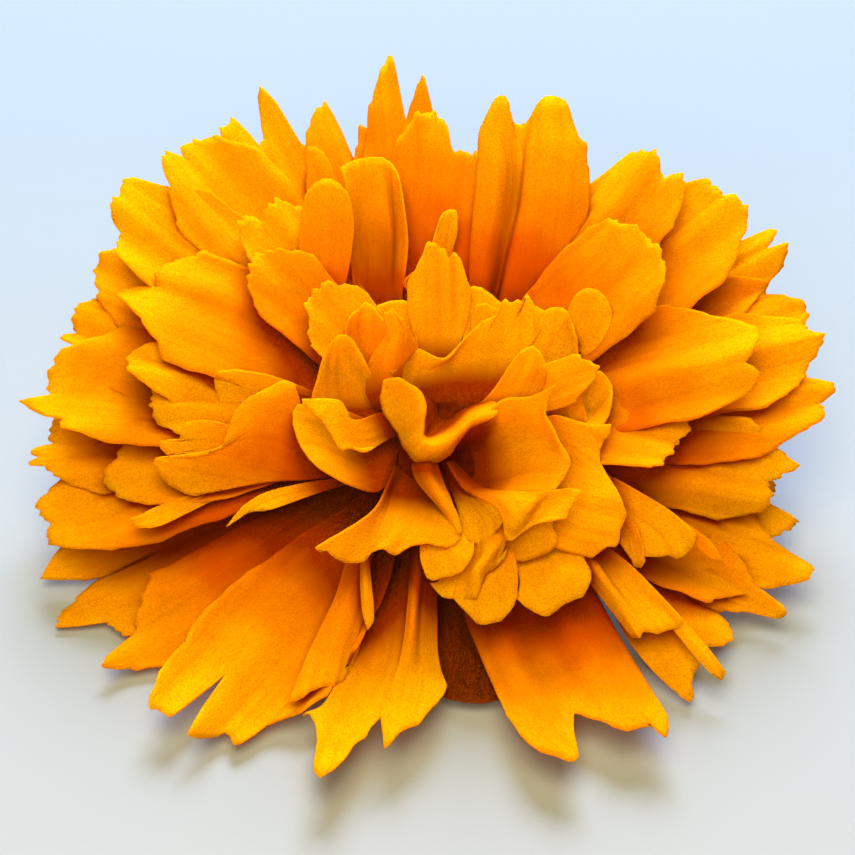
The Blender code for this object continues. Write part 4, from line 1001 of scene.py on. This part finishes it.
def sheet_hidden(head, rays, points):
    """The same for each of a petal's points, felt for over its upper face at some of them."""
    height, width = points.shape[:2]
    rows, columns = np.arange(0, height, SHELTER_STEP), np.arange(0, width, SHELTER_STEP)
    facing = out_of_sheet(points)
    facing = facing * np.where(facing[..., 2:] < 0, -1, 1)
    hidden = [[sky_hidden(head, rays, points[i, j], Vector(facing[i, j])) for j in columns] for i in rows]
    hidden = np.stack([np.interp(np.arange(width), columns, line) for line in hidden])
    return np.stack([np.interp(np.arange(height), rows, line) for line in hidden.T], -1)


def add_shelter(pieces):
    """Give each petal, at each place, its shelter by others or by its own root, painted as shade."""
    verts, faces = joined_grids(points for grids in pieces.values() for points, *_ in grids.values())
    head = BVHTree.FromPolygons(verts, faces)
    rays = sky_rays()
    for piece, grids in pieces.items():
        share = SHELTER_SHARE.get(piece, 1.0)
        root_deep = TUFT_ROOT_DEEP if piece == "tuft_petals" else ROOT_DEEP
        for title, (points, ripe, across, along) in grids.items():
            reached = along / along.max()
            shelter = share * sheet_hidden(head, rays, points) * (1 - TIP_BARE * reached ** 2)
            shelter = shelter + ROOT_SHELTER * np.clip(1 - reached / root_deep, 0, 1)
            # sheets that stand for shade take painted shade all over
            if title in SHADE_SHEETS:
                shelter = shelter + SHADE_SHEET_SHELTER
            grids[title] = (points, ripe, across, along, shelter)


def add_object(name, data):
    """Object at the origin, in the scene."""
    made = bpy.data.objects.new(name, data)
    bpy.context.scene.collection.objects.link(made)
    return made


def plain_mesh(name, verts, edges=(), faces=()):
    mesh = bpy.data.meshes.new(name)
    mesh.from_pydata(verts, edges, faces)
    return mesh


def plain_result(carrier):
    """The plain mesh that an object's modifiers make. The object goes."""
    made = bpy.data.meshes.new_from_object(carrier.evaluated_get(bpy.context.evaluated_depsgraph_get()))
    bpy.data.objects.remove(carrier)
    return made


def add_attribute(mesh, name, numbers):
    """Attribute of a mesh's points that a finish or a tree reads."""
    layer = mesh.attributes.new(name, "FLOAT", "POINT")
    layer.data.foreach_set("value", np.array(numbers, np.float32))


def sheets_mesh(name, grids):
    """One mesh of open sheets from grids of points, with the attributes that the finish reads."""
    verts, faces = joined_grids(grid[0] for grid in grids.values())
    mesh = plain_mesh(name, verts, faces=faces)
    for key, place in (("share", 1), ("across", 2), ("along", 3), ("shelter", 4)):
        add_attribute(mesh, key, np.concatenate([grid[place].ravel() for grid in grids.values()]))
    tones = [[random.Random(title + " tone").random()] * grid[1].size for title, grid in grids.items()]
    add_attribute(mesh, "tone", np.concatenate(tones))
    return mesh


def new_tree(name, inputs):
    """Empty Geometry Nodes tree with a geometry socket each way and the named inputs."""
    tree = bpy.data.node_groups.new(name, "GeometryNodeTree")
    tree.interface.new_socket("Geometry", in_out="INPUT", socket_type="NodeSocketGeometry")
    tree.interface.new_socket("Geometry", in_out="OUTPUT", socket_type="NodeSocketGeometry")
    for title, kind in inputs:
        tree.interface.new_socket(title, in_out="INPUT", socket_type="NodeSocket" + kind)
    return tree, tree.nodes.new("NodeGroupInput").outputs


def end_tree(tree, given, geometry):
    """End a tree in real geometry with its material."""
    real = add_node(tree, "GeometryNodeRealizeInstances", Geometry=geometry)
    finished = add_node(tree, "GeometryNodeSetMaterial", Geometry=real.outputs[0], Material=given["Material"])
    tree.links.new(finished.outputs[0], tree.nodes.new("NodeGroupOutput").inputs[0])
    return tree


def set_socket(tree, socket, value):
    """Link a socket to another, or give it a value."""
    if isinstance(value, bpy.types.NodeSocket):
        tree.links.new(value, socket)
    else:
        socket.default_value = value


def add_node(tree, kind, settings=(), **links):
    """Add a node, set its properties, and link or set its inputs by name or, as i0 and on, by number."""
    node = tree.nodes.new(kind)
    for key, value in dict(settings).items():
        setattr(node, key, value)
    for key, value in links.items():
        numbered = key[0] == "i" and key[1:].isdigit()
        set_socket(tree, node.inputs[int(key[1:]) if numbered else key.replace("_", " ")], value)
    return node


def maths(tree, operation, first, second=0.0):
    return add_node(tree, "ShaderNodeMath", {"operation": operation}, i0=first, i1=second).outputs[0]


def product(tree, first, second):
    return maths(tree, "MULTIPLY", first, second)


def total(tree, first, second):
    return maths(tree, "ADD", first, second)


def off_middle(tree, value, share):
    """How far a value between 0 and 1 is from the middle, times a share."""
    return product(tree, maths(tree, "SUBTRACT", value, 0.5), share)


def run_tree(mesh, tree, values):
    """Run a Geometry Nodes tree on a mesh and give back the plain mesh it makes."""
    carrier = add_object("carrier", mesh)
    modifier = carrier.modifiers.new("nodes", "NODES")
    modifier.node_group = tree
    for item in tree.interface.items_tree:
        if item.in_out == "INPUT" and item.name in values:
            modifier[item.identifier] = values[item.name]
    return plain_result(carrier)


def crinkle_tree():
    """Raises fine long ribs and uneven crinkles on petal sheets, growing from root to tip."""
    tree, given = new_tree("petal crinkles", [
        ("Rib Depth", "Float"), ("Rib Spacing", "Float"), ("Crinkle Depth", "Float"), ("Seed", "Float"),
        ("Material", "Material")])
    across, share = (add_node(tree, "GeometryNodeInputNamedAttribute", {"data_type": "FLOAT"},
                              Name=name).outputs["Attribute"] for name in ("across", "share"))
    turns = maths(tree, "DIVIDE", across, given["Rib Spacing"])
    wave = maths(tree, "COSINE", product(tree, turns, TURN))
    grown = product(tree, share, RELIEF_GROWTH)
    ribs = product(tree, product(tree, wave, given["Rib Depth"]), grown)
    place = add_node(tree, "GeometryNodeInputPosition").outputs[0]
    noise = add_node(tree, "ShaderNodeTexNoise", {"noise_dimensions": "4D"}, Vector=place, W=given["Seed"],
                     Scale=CRINKLE_SCALE, Detail=2.0, Roughness=0.5).outputs[0]
    crinkle = off_middle(tree, noise, given["Crinkle Depth"])
    height = total(tree, ribs, product(tree, crinkle, product(tree, grown, 2.0)))
    normal = add_node(tree, "GeometryNodeInputNormal").outputs[0]
    offset = add_node(tree, "ShaderNodeVectorMath", {"operation": "SCALE"}, i0=normal, Scale=height)
    moved = add_node(tree, "GeometryNodeSetPosition", Geometry=given["Geometry"], Offset=offset.outputs[0])
    return end_tree(tree, given, moved.outputs[0])


def random_between(tree, number, seed, low, high):
    """A random value for each copy, by its number."""
    return add_node(tree, "FunctionNodeRandomValue", {"data_type": "FLOAT"}, i2=low, i3=high, ID=number,
                    Seed=seed).outputs[1]


def turned_copies(tree, points, shape, turns, scale):
    """Copies of a shape on points, turned by the given angles."""
    spin = add_node(tree, "ShaderNodeCombineXYZ", **turns).outputs[0]
    rotation = add_node(tree, "FunctionNodeEulerToRotation", Euler=spin).outputs[0]
    return add_node(tree, "GeometryNodeInstanceOnPoints", Points=points, Instance=shape, Rotation=rotation,
                    Scale=scale).outputs[0]


def whorl_tree():
    """Places copies of one blade evenly round the axis, each a little different."""
    tree, given = new_tree("whorl", [
        ("Blade", "Object"), ("Count", "Int"), ("First Turn", "Float"), ("Unevenness", "Float"),
        ("Seed", "Int"), ("Material", "Material")])
    blade = add_node(tree, "GeometryNodeObjectInfo", Object=given["Blade"]).outputs["Geometry"]
    line = add_node(tree, "GeometryNodePoints", Count=given["Count"]).outputs[0]
    number = add_node(tree, "GeometryNodeInputIndex").outputs[0]
    share = maths(tree, "DIVIDE", number, given["Count"])
    wobble = product(tree, random_between(tree, number, given["Seed"], -1, 1), given["Unevenness"])
    turn = total(tree, total(tree, product(tree, share, TURN), given["First Turn"]), wobble)
    size = total(tree, product(tree, wobble, WHORL_SIZE), 1.0)
    scale = add_node(tree, "ShaderNodeCombineXYZ", X=size, Y=size, Z=1.0).outputs[0]
    copies = turned_copies(tree, line, blade, {"X": product(tree, wobble, WHORL_TILT), "Z": turn}, scale)
    return end_tree(tree, given, copies)


def florets_tree():
    """Stands copies of one floret on the given points, leaning and sized at random."""
    tree, given = new_tree("disc florets", [
        ("Floret", "Object"), ("Lean", "Float"), ("Smallest", "Float"), ("Largest", "Float"), ("Seed", "Int"),
        ("Material", "Material")])
    floret = add_node(tree, "GeometryNodeObjectInfo", Object=given["Floret"]).outputs["Geometry"]
    points = add_node(tree, "GeometryNodeMeshToPoints", Mesh=given["Geometry"]).outputs[0]
    number = add_node(tree, "GeometryNodeInputIndex").outputs[0]
    lean_x, lean_y = (product(tree, random_between(tree, number, total(tree, given["Seed"], step), -1, 1),
                              given["Lean"]) for step in (0.0, 1.0))
    size = random_between(tree, number, total(tree, given["Seed"], 5.0), given["Smallest"], given["Largest"])
    turns = {"X": lean_x, "Y": lean_y, "Z": product(tree, number, FLORET_TURN)}
    return end_tree(tree, given, turned_copies(tree, points, floret, turns, size))


def new_material(name, roughness, specular):
    """Material with a Principled shader, with its tree, its shader and the place on the piece."""
    made = bpy.data.materials.new(name)
    made.use_nodes = True
    tree = made.node_tree
    shader = tree.nodes["Principled BSDF"]
    shader.inputs["Roughness"].default_value = roughness
    shader.inputs["Specular IOR Level"].default_value = specular
    return made, tree, shader, tree.nodes.new("ShaderNodeTexCoord").outputs["Object"]


def colour_ramp(tree, factor, stops):
    ramp = add_node(tree, "ShaderNodeValToRGB", i0=factor)
    ramp.color_ramp.interpolation = "EASE"
    while len(ramp.color_ramp.elements) < len(stops):
        ramp.color_ramp.elements.new(1)
    for element, (place, colour_there) in zip(ramp.color_ramp.elements, stops):
        element.position = place
        element.color = (*colour_there, 1)
    return ramp.outputs[0]


def mix_colours(tree, factor, first, second):
    """Colour between two, each a socket or a colour of three shares."""
    ends = {}
    for socket, value in (("i6", first), ("i7", second)):
        ends[socket] = value if isinstance(value, bpy.types.NodeSocket) else (*value, 1)
    return add_node(tree, "ShaderNodeMix", {"data_type": "RGBA"}, i0=factor, **ends).outputs[2]


def noise_at(tree, vector, scale, detail=3.0, roughness=0.5, stretch=None):
    if stretch:
        vector = add_node(tree, "ShaderNodeMapping", Vector=vector, Scale=stretch).outputs[0]
    return add_node(tree, "ShaderNodeTexNoise", Vector=vector, Scale=scale, Detail=detail,
                    Roughness=roughness).outputs[0]


def attribute(tree, name):
    return add_node(tree, "ShaderNodeAttribute", {"attribute_name": name}).outputs["Fac"]


def between(tree, value, low, high, to_low=0.0, to_high=1.0):
    """Value carried from one range to another and held inside it."""
    return add_node(tree, "ShaderNodeMapRange", i0=value, i1=low, i2=high, i3=to_low, i4=to_high).outputs[0]


def dress(tree, shader, colour_there, height, strength, depth):
    """Give a shader its colour and its relief, and hand back the relief's normal."""
    tree.links.new(colour_there, shader.inputs["Base Color"])
    normal = add_node(tree, "ShaderNodeBump", Height=height, Strength=strength, Distance=depth).outputs[0]
    tree.links.new(normal, shader.inputs["Normal"])
    return normal


def petal_finish(name):
    """Velvety petal: deep orange root, gold tip, long streaks, fine grain, painted shade where sheltered."""
    made, tree, shader, place = new_material(name, 0.65, 0.05)
    shader.inputs["Specular Tint"].default_value = (1.0, 0.55, 0.08, 1)
    shader.inputs["IOR"].default_value = 1.1
    tint = colours()
    tone, shelter = attribute(tree, "tone"), attribute(tree, "shelter")
    blotches = noise_at(tree, place, BLOTCH_SCALE)
    shift = total(tree, off_middle(tree, blotches, BLOTCH_SHIFT), off_middle(tree, tone, TONE_SHIFT))
    tints = (tint.petal_root, tint.petal_throat, tint.petal_body, tint.petal_tip, tint.petal_margin)
    base = colour_ramp(tree, total(tree, attribute(tree, "share"), shift), list(zip(PETAL_STOPS, tints)))
    # painted shade, red brown and then dark, where the petal is sheltered
    base = mix_colours(tree, between(tree, shelter, *POCKET_SHADE_BAND), base, tint.pocket_painted_shade)
    base = mix_colours(tree, between(tree, shelter, *DEEP_SHADE_BAND), base, PAINTED_DEEP_SHADE)
    sheet = add_node(tree, "ShaderNodeCombineXYZ", X=attribute(tree, "across"), Y=attribute(tree, "along"),
                     Z=product(tree, tone, 0.4)).outputs[0]
    streaks = noise_at(tree, sheet, 1.0, 3.0, 0.6, STREAK_STRETCH)
    base = mix_colours(tree, between(tree, streaks, *STREAK_BAND), base, tint.petal_root)
    grain = noise_at(tree, place, GRAIN_SCALE, 1.0)
    base = mix_colours(tree, between(tree, grain, *GRAIN_BAND), base, PETAL_GRAIN)
    veins = noise_at(tree, sheet, 1.0, 2.0, 0.5, VEIN_STRETCH)
    height = total(tree, product(tree, veins, VEIN_SHARE), product(tree, grain, 1 - VEIN_SHARE))
    normal = dress(tree, shader, base, height, *PETAL_RELIEF)
    glow = add_node(tree, "ShaderNodeBsdfTranslucent", Color=mix_colours(tree, 0.4, base, PETAL_GLOW),
                    Normal=normal)
    both = add_node(tree, "ShaderNodeMixShader", Fac=GLOW_SHARE, i1=shader.outputs[0], i2=glow.outputs[0])
    tree.links.new(both.outputs[0], tree.nodes["Material Output"].inputs[0])
    return made


def plant_finish(name, colour_there, dark, streak_scale):
    """Stem or bract: mottled, with long fibres along the flower's axis."""
    made, tree, shader, place = new_material(name, 0.6, 0.35)
    mottle = noise_at(tree, place, MOTTLE_SCALE, 4.0, 0.6)
    fibres = noise_at(tree, place, streak_scale, 3.0, 0.6, (1, 1, 0.18))
    base = mix_colours(tree, between(tree, mottle, 0.35, 0.7), colour_there, dark)
    light = [min(1, 1.7 * share) for share in colour_there]
    base = mix_colours(tree, between(tree, fibres, 0.5, 0.72, 0, 0.55), base, light)
    dress(tree, shader, base, fibres, *PLANT_RELIEF)
    return made


def floret_finish(name):
    """Amber floret, golden at its mouth and dark at the anthers."""
    made, tree, shader, place = new_material(name, 0.5, 0.35)
    tint = colours()
    base = colour_ramp(tree, attribute(tree, "share"), [
        (0.0, [0.5 * share for share in tint.floret]), (0.5, tint.floret), (0.75, tint.petal_tip),
        (0.92, ANTHER_DARK)])
    grain = noise_at(tree, place, FLORET_GRAIN_SCALE, 2.0)
    base = mix_colours(tree, between(tree, grain, 0.4, 0.7, 0, 0.35), base, FLORET_GRAIN)
    dress(tree, shader, base, grain, *FLORET_RELIEF)
    return made


def receptacle_finish(name):
    """Dark red dome, pitted between the florets, partly painted shade as dark as the hollow round it."""
    made, tree, shader, place = new_material(name, 0.9, 0.02)
    cells = add_node(tree, "ShaderNodeTexVoronoi", Vector=place, Scale=PIT_SCALE).outputs["Distance"]
    base = colour_ramp(tree, cells, [(0.1, PIT_COLOUR), (0.6, RIDGE_COLOUR)])
    dress(tree, shader, base, cells, *PIT_RELIEF)
    return made


def floor_finish(name):
    """Pale matt floor, a little bluer towards the back, with a faint speckle; the warmer front is painted
    light.
    """
    made, tree, shader, place = new_material(name, 0.9, 0.1)
    speckle = noise_at(tree, place, SPECKLE_SCALE, 2.0)
    depth = add_node(tree, "ShaderNodeSeparateXYZ", Vector=place).outputs["Y"]
    wash = mix_colours(tree, between(tree, depth, -FLOOR_BAND, FLOOR_BAND), FLOOR_FRONT, FLOOR_BACK)
    base = mix_colours(tree, between(tree, speckle, 0.4, 0.65, 0, 0.06), wash, FLOOR_SPECK)
    tree.links.new(base, shader.inputs["Base Color"])
    return made


def new_piece(name, mesh, smooth=True):
    """Object at the origin for a finished mesh."""
    mesh.name = name
    if smooth:
        mesh.shade_smooth()
    return add_object(name, mesh)


def hand_over(piece, node):
    """Tell the frame what the piece rides on, and hide the solid's part that it stands for."""
    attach(piece, "root")
    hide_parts(node)


def thicken(piece, thickness):
    solidify = piece.modifiers.new("thickness", "SOLIDIFY")
    solidify.thickness = thickness
    solidify.offset = 0
    return piece


def petal_piece(name, grids):
    """One piece of the scene: petals as sheets with ribs and crinkles, given their thickness."""
    tree = bpy.data.node_groups.get("petal crinkles") or crinkle_tree()
    finish = bpy.data.materials.get("petal velvet") or petal_finish("petal velvet")
    values = {"Rib Depth": sizes().rib_depth, "Rib Spacing": sizes().rib_spacing,
              "Crinkle Depth": sizes().crinkle_depth, "Seed": float(len(grids)), "Material": finish}
    made = run_tree(sheets_mesh(name, grids), tree, values)
    hand_over(thicken(new_piece(name, made), sizes().petal_thickness), "petals")


def turned_mesh(name, profile, steps):
    """Closed mesh turned about the axis from a profile, in metres, leaned and lifted."""
    edges = [(i, i + 1) for i in range(len(profile) - 1)]
    turned = add_object(name, plain_mesh(name, [(r * MM, 0, z * MM) for r, z in profile], edges))
    screw = turned.modifiers.new("turn", "SCREW")
    screw.steps = screw.render_steps = steps
    screw.use_merge_vertices = True
    screw.merge_threshold = MERGE_DISTANCE
    made = plain_result(turned)
    mesh = bmesh.new()
    mesh.from_mesh(made)
    bmesh.ops.recalc_face_normals(mesh, faces=mesh.faces)
    mesh.to_mesh(made)
    mesh.free()
    place_mesh(made)
    return made


def smooth_profile(points, parts):
    """Points along a smooth curve through a profile's own points."""
    pts = [np.array(point, float) for point in points]
    pts = [2 * pts[0] - pts[1]] + pts + [2 * pts[-1] - pts[-2]]
    out = []
    for a, b, c, d in zip(pts, pts[1:], pts[2:], pts[3:]):
        for t in np.arange(parts) / parts:
            square, cube = (2 * a - 5 * b + 4 * c - d) * t ** 2, (3 * b - a - 3 * c + d) * t ** 3
            radius, height = 0.5 * (2 * b + (c - a) * t + square + cube)
            out.append((max(0.0, float(radius)), float(height)))
    out.append(tuple(float(value) for value in pts[-2]))
    return out


def bract_blade(name, length, width, rise, bend, trough, root, point):
    """One bract as a closed blade along +X in the flower frame, for the whorl tree to copy."""
    shares = np.broadcast_to(np.linspace(0, 1, BRACT_GRID[0])[:, None], BRACT_GRID)
    sides = np.broadcast_to(np.linspace(-1, 1, BRACT_GRID[1])[None, :], BRACT_GRID)
    line, across, facing = petal_frame(root, 0, length, rise, bend, 0, shares)
    swell = np.sin(np.clip(shares / BRACT_WIDEST, 0, 1) * math.pi / 2)
    profile = (BRACT_FOOT + (1 - BRACT_FOOT) * swell) * (1 - shares ** point) ** BRACT_TIP_POWER
    half = width / 2 * np.maximum(profile, BRACT_TIP)
    lateral, raised = troughed(half, math.radians(trough), sides)
    raised = raised - KEEL_HEIGHT * np.exp(-(sides / KEEL_WIDTH) ** 2) * (1 - shares)
    verts, faces = joined_grids([(line + lateral[..., None] * across + raised[..., None] * facing) * MM])
    mesh = plain_mesh(name, verts, faces=faces)
    mesh.shade_smooth()
    return thicken(add_object(name, mesh), BRACT_THICKNESS * MM)


def whorl_mesh(blade, count, first, unevenness, seed, finish):
    """Copies of a blade round the axis as one mesh, leaned and lifted. The blade's object goes."""
    tree = bpy.data.node_groups.get("whorl") or whorl_tree()
    values = {"Blade": blade, "Count": count, "First Turn": math.radians(first), "Unevenness": unevenness,
              "Seed": seed, "Material": finish}
    made = run_tree(bpy.data.meshes.new("whorl"), tree, values)
    bpy.data.objects.remove(blade)
    place_mesh(made)
    return made


def floret_object():
    """One disc floret along +Z: a slim tube that widens to five lobes round a column of anthers."""
    verts, shares, faces = [], [], []
    for ring, (radius, height, share) in enumerate(FLORET):
        lobes = LOBE_DEPTH if ring in FLORET_MOUTH else 0
        for side in range(FLORET_SIDES):
            angle = TURN * side / FLORET_SIDES
            out = radius * (1 + lobes * math.cos(FLORET_LOBES * angle)) * MM
            verts.append((out * math.cos(angle), out * math.sin(angle), (height - FLORET_SUNK) * MM))
            shares.append(share)
    for first in range(0, len(verts) - FLORET_SIDES, FLORET_SIDES):
        for side in range(FLORET_SIDES):
            a, b = first + side, first + (side + 1) % FLORET_SIDES
            faces.append((a, b, b + FLORET_SIDES, a + FLORET_SIDES))
    faces.append(tuple(reversed(range(FLORET_SIDES))))
    faces.append(tuple(range(len(verts) - FLORET_SIDES, len(verts))))
    mesh = plain_mesh("floret", verts, faces=faces)
    mesh.shade_smooth()
    add_attribute(mesh, "share", shares)
    return add_object("floret", mesh)


def floret_places():
    """Places of the florets' feet on the receptacle, in the flower frame, in metres."""
    draw = random.Random(FLORET_PLACE_SEED)
    places = []
    for _ in range(sizes().disc_florets):
        radius = draw.uniform(*FLORET_RING)
        angle = math.radians(draw.uniform(*FLORET_SECTOR))
        height = FLORET_TOP - FLORET_FALL * radius ** 2
        places.append((radius * math.cos(angle) * MM, radius * math.sin(angle) * MM, height * MM))
    return places


def cut_at_table(made):
    """Cut off what is under the table and close the cut level."""
    mesh = bmesh.new()
    mesh.from_mesh(made)
    whole = mesh.verts[:] + mesh.edges[:] + mesh.faces[:]
    cut = bmesh.ops.bisect_plane(mesh, geom=whole, dist=1e-7, plane_co=(0, 0, 0), plane_no=(0, 0, -1),
                                 clear_outer=True)
    rim = [part for part in cut["geom_cut"] if isinstance(part, bmesh.types.BMEdge)]
    bmesh.ops.edgeloop_fill(mesh, edges=rim)
    bmesh.ops.recalc_face_normals(mesh, faces=mesh.faces)
    mesh.to_mesh(made)
    mesh.free()


class COREOPSIS_OT_petals(bpy.types.Operator):
    """Build the petals of all the whorls and the lower ones behind the head"""
    bl_idname = "coreopsis.petals"
    bl_label = "Petals"

    def execute(self, context):
        pieces = all_petals()
        add_shelter(pieces)
        for name, grids in pieces.items():
            petal_piece(name, grids)
        return {"FINISHED"}


class COREOPSIS_OT_disc(bpy.types.Operator):
    """Build the receptacle and the disc florets that stand between the inner petals"""
    bl_idname = "coreopsis.disc"
    bl_label = "Receptacle and disc florets"

    def execute(self, context):
        dome = turned_mesh("receptacle", smooth_profile(RECEPTACLE, 5), ROUND_STEPS)
        dome.materials.append(receptacle_finish("pitted receptacle"))
        hand_over(new_piece("receptacle", dome), "petals")
        floret = floret_object()
        smallest, largest = FLORET_SIZES
        values = {"Floret": floret, "Lean": FLORET_LEAN, "Smallest": smallest, "Largest": largest,
                  "Seed": FLORET_LOOK_SEED, "Material": floret_finish("disc floret")}
        made = run_tree(plain_mesh("floret places", floret_places()), florets_tree(), values)
        bpy.data.objects.remove(floret)
        place_mesh(made)
        hand_over(new_piece("disc_florets", made), "petals")
        return {"FINISHED"}


class COREOPSIS_OT_involucre(bpy.types.Operator):
    """Build the cup of inner bracts and the stem end with its narrow outer bracts"""
    bl_idname = "coreopsis.involucre"
    bl_label = "Bracts and stem end"

    def execute(self, context):
        straw = plant_finish("inner bract", colours().inner_bract, BRACT_DARK, BRACT_FIBRE_SCALE)
        green = plant_finish("stem green", colours().stem, STEM_DARK, STEM_FIBRE_SCALE)
        outside = [(r + (CUP_RIM if r else 0), z - CUP_WALL) for r, z in CUP_INNER]
        wall = smooth_profile(CUP_INNER[::-1], 4) + smooth_profile(outside, 4)
        cup = turned_mesh("bract_cup", wall, CUP_STEPS)
        cup.materials.append(straw)
        hand_over(new_piece("bract_cup", cup), "inner_bracts")
        made = whorl_mesh(bract_blade("broad bract", *BROAD_BRACT), sizes().inner_bracts, *BROAD_WHORL, straw)
        hand_over(new_piece("inner_bract_blades", made), "inner_bracts")
        made = whorl_mesh(bract_blade("slim bract", *SLIM_BRACT), sizes().outer_bracts, *SLIM_WHORL, green)
        hand_over(new_piece("outer_bract_blades", made), "stem_and_outer_bracts")
        neck = [(radius, STEM_TOP - down) for radius, down in STEM_NECK]
        foot = -LIFT - STEM_SPARE
        stem = turned_mesh("stem_end", neck + [(STEM_RADIUS, foot), (0, foot)], ROUND_STEPS)
        cut_at_table(stem)
        stem.materials.append(green)
        hand_over(new_piece("stem_end", stem), "stem_and_outer_bracts")
        return {"FINISHED"}


class COREOPSIS_OT_stage(bpy.types.Operator):
    """Set up the pale floor, the soft studio light and the camera"""
    bl_idname = "coreopsis.stage"
    bl_label = "Stage"

    def execute(self, context):
        self.floor()
        self.lights()
        self.camera()
        return {"FINISHED"}

    def floor(self):
        corners = [(x * FLOOR_HALF, y * FLOOR_HALF, 0) for x, y in ((-1, -1), (1, -1), (1, 1), (-1, 1))]
        mesh = plain_mesh("floor", corners, faces=[(0, 1, 2, 3)])
        mesh.materials.append(floor_finish("floor"))
        floor = new_piece("floor", mesh, smooth=False)

    def lights(self):
        for name, place, size, power, tint in LAMPS:
            data = bpy.data.lights.new(name, "AREA")
            data.shape = "DISK"
            data.size = size
            data.energy = power
            data.color = tint
            lamp = add_object(name, data)
            lamp.location = place
            lamp.rotation_mode = "QUATERNION"
            lamp.rotation_quaternion = (LAMP_AIM - Vector(place)).to_track_quat("-Z", "Y")
        world = bpy.data.worlds.new("studio")
        world.use_nodes = True
        background = world.node_tree.nodes["Background"]
        background.inputs[0].default_value = STUDIO_COLOUR
        background.inputs[1].default_value = STUDIO_STRENGTH
        bpy.context.scene.world = world
        bpy.context.scene.view_settings.view_transform = "Standard"

    def camera(self):
        cos, sin = math.cos(CAMERA_ELEVATION), math.sin(CAMERA_ELEVATION)
        head = Vector((0, -LIFT * math.sin(LEAN), LIFT * math.cos(LEAN)))
        back, up = Vector((0, -cos, sin)), Vector((0, sin, cos))
        aim = head + (up * HEAD_SHIFT[1] - Vector((HEAD_SHIFT[0], 0, 0))) * PER_PIXEL
        data = bpy.data.cameras.new("camera")
        data.sensor_width = SENSOR
        data.lens = SENSOR * CAMERA_DISTANCE / CAMERA_SPAN
        data.clip_start = NEAREST_SEEN
        camera = add_object("camera", data)
        camera.location = (aim + back * CAMERA_DISTANCE) * MM
        camera.rotation_euler = (math.pi / 2 - CAMERA_ELEVATION, 0, 0)
        bpy.context.scene.camera = camera


class COREOPSIS_PT_panel(bpy.types.Panel):
    """Sidebar panel with the flower's settings and its steps"""
    bl_label = "Coreopsis flower"
    bl_idname = "COREOPSIS_PT_panel"
    bl_space_type = "VIEW_3D"
    bl_region_type = "UI"
    bl_category = "Coreopsis"

    def draw(self, context):
        for group in (context.scene.flower_sizes, context.scene.flower_colours):
            box = self.layout.box()
            for name in group.__annotations__:
                box.prop(group, name)
        for operator in OPERATORS:
            self.layout.operator(operator.bl_idname)


OPERATORS = (COREOPSIS_OT_petals, COREOPSIS_OT_disc, COREOPSIS_OT_involucre, COREOPSIS_OT_stage)
CLASSES = (FlowerSizes, FlowerColours) + OPERATORS + (COREOPSIS_PT_panel,)


def register():
    for cls in CLASSES:
        bpy.utils.register_class(cls)
    bpy.types.Scene.flower_sizes = bpy.props.PointerProperty(type=FlowerSizes)
    bpy.types.Scene.flower_colours = bpy.props.PointerProperty(type=FlowerColours)


def unregister():
    del bpy.types.Scene.flower_sizes
    del bpy.types.Scene.flower_colours
    for cls in reversed(CLASSES):
        bpy.utils.unregister_class(cls)


def main():
    register()
    bpy.ops.coreopsis.petals()
    bpy.ops.coreopsis.disc()
    bpy.ops.coreopsis.involucre()
    bpy.ops.coreopsis.stage()


if __name__ == "__main__":
    main()
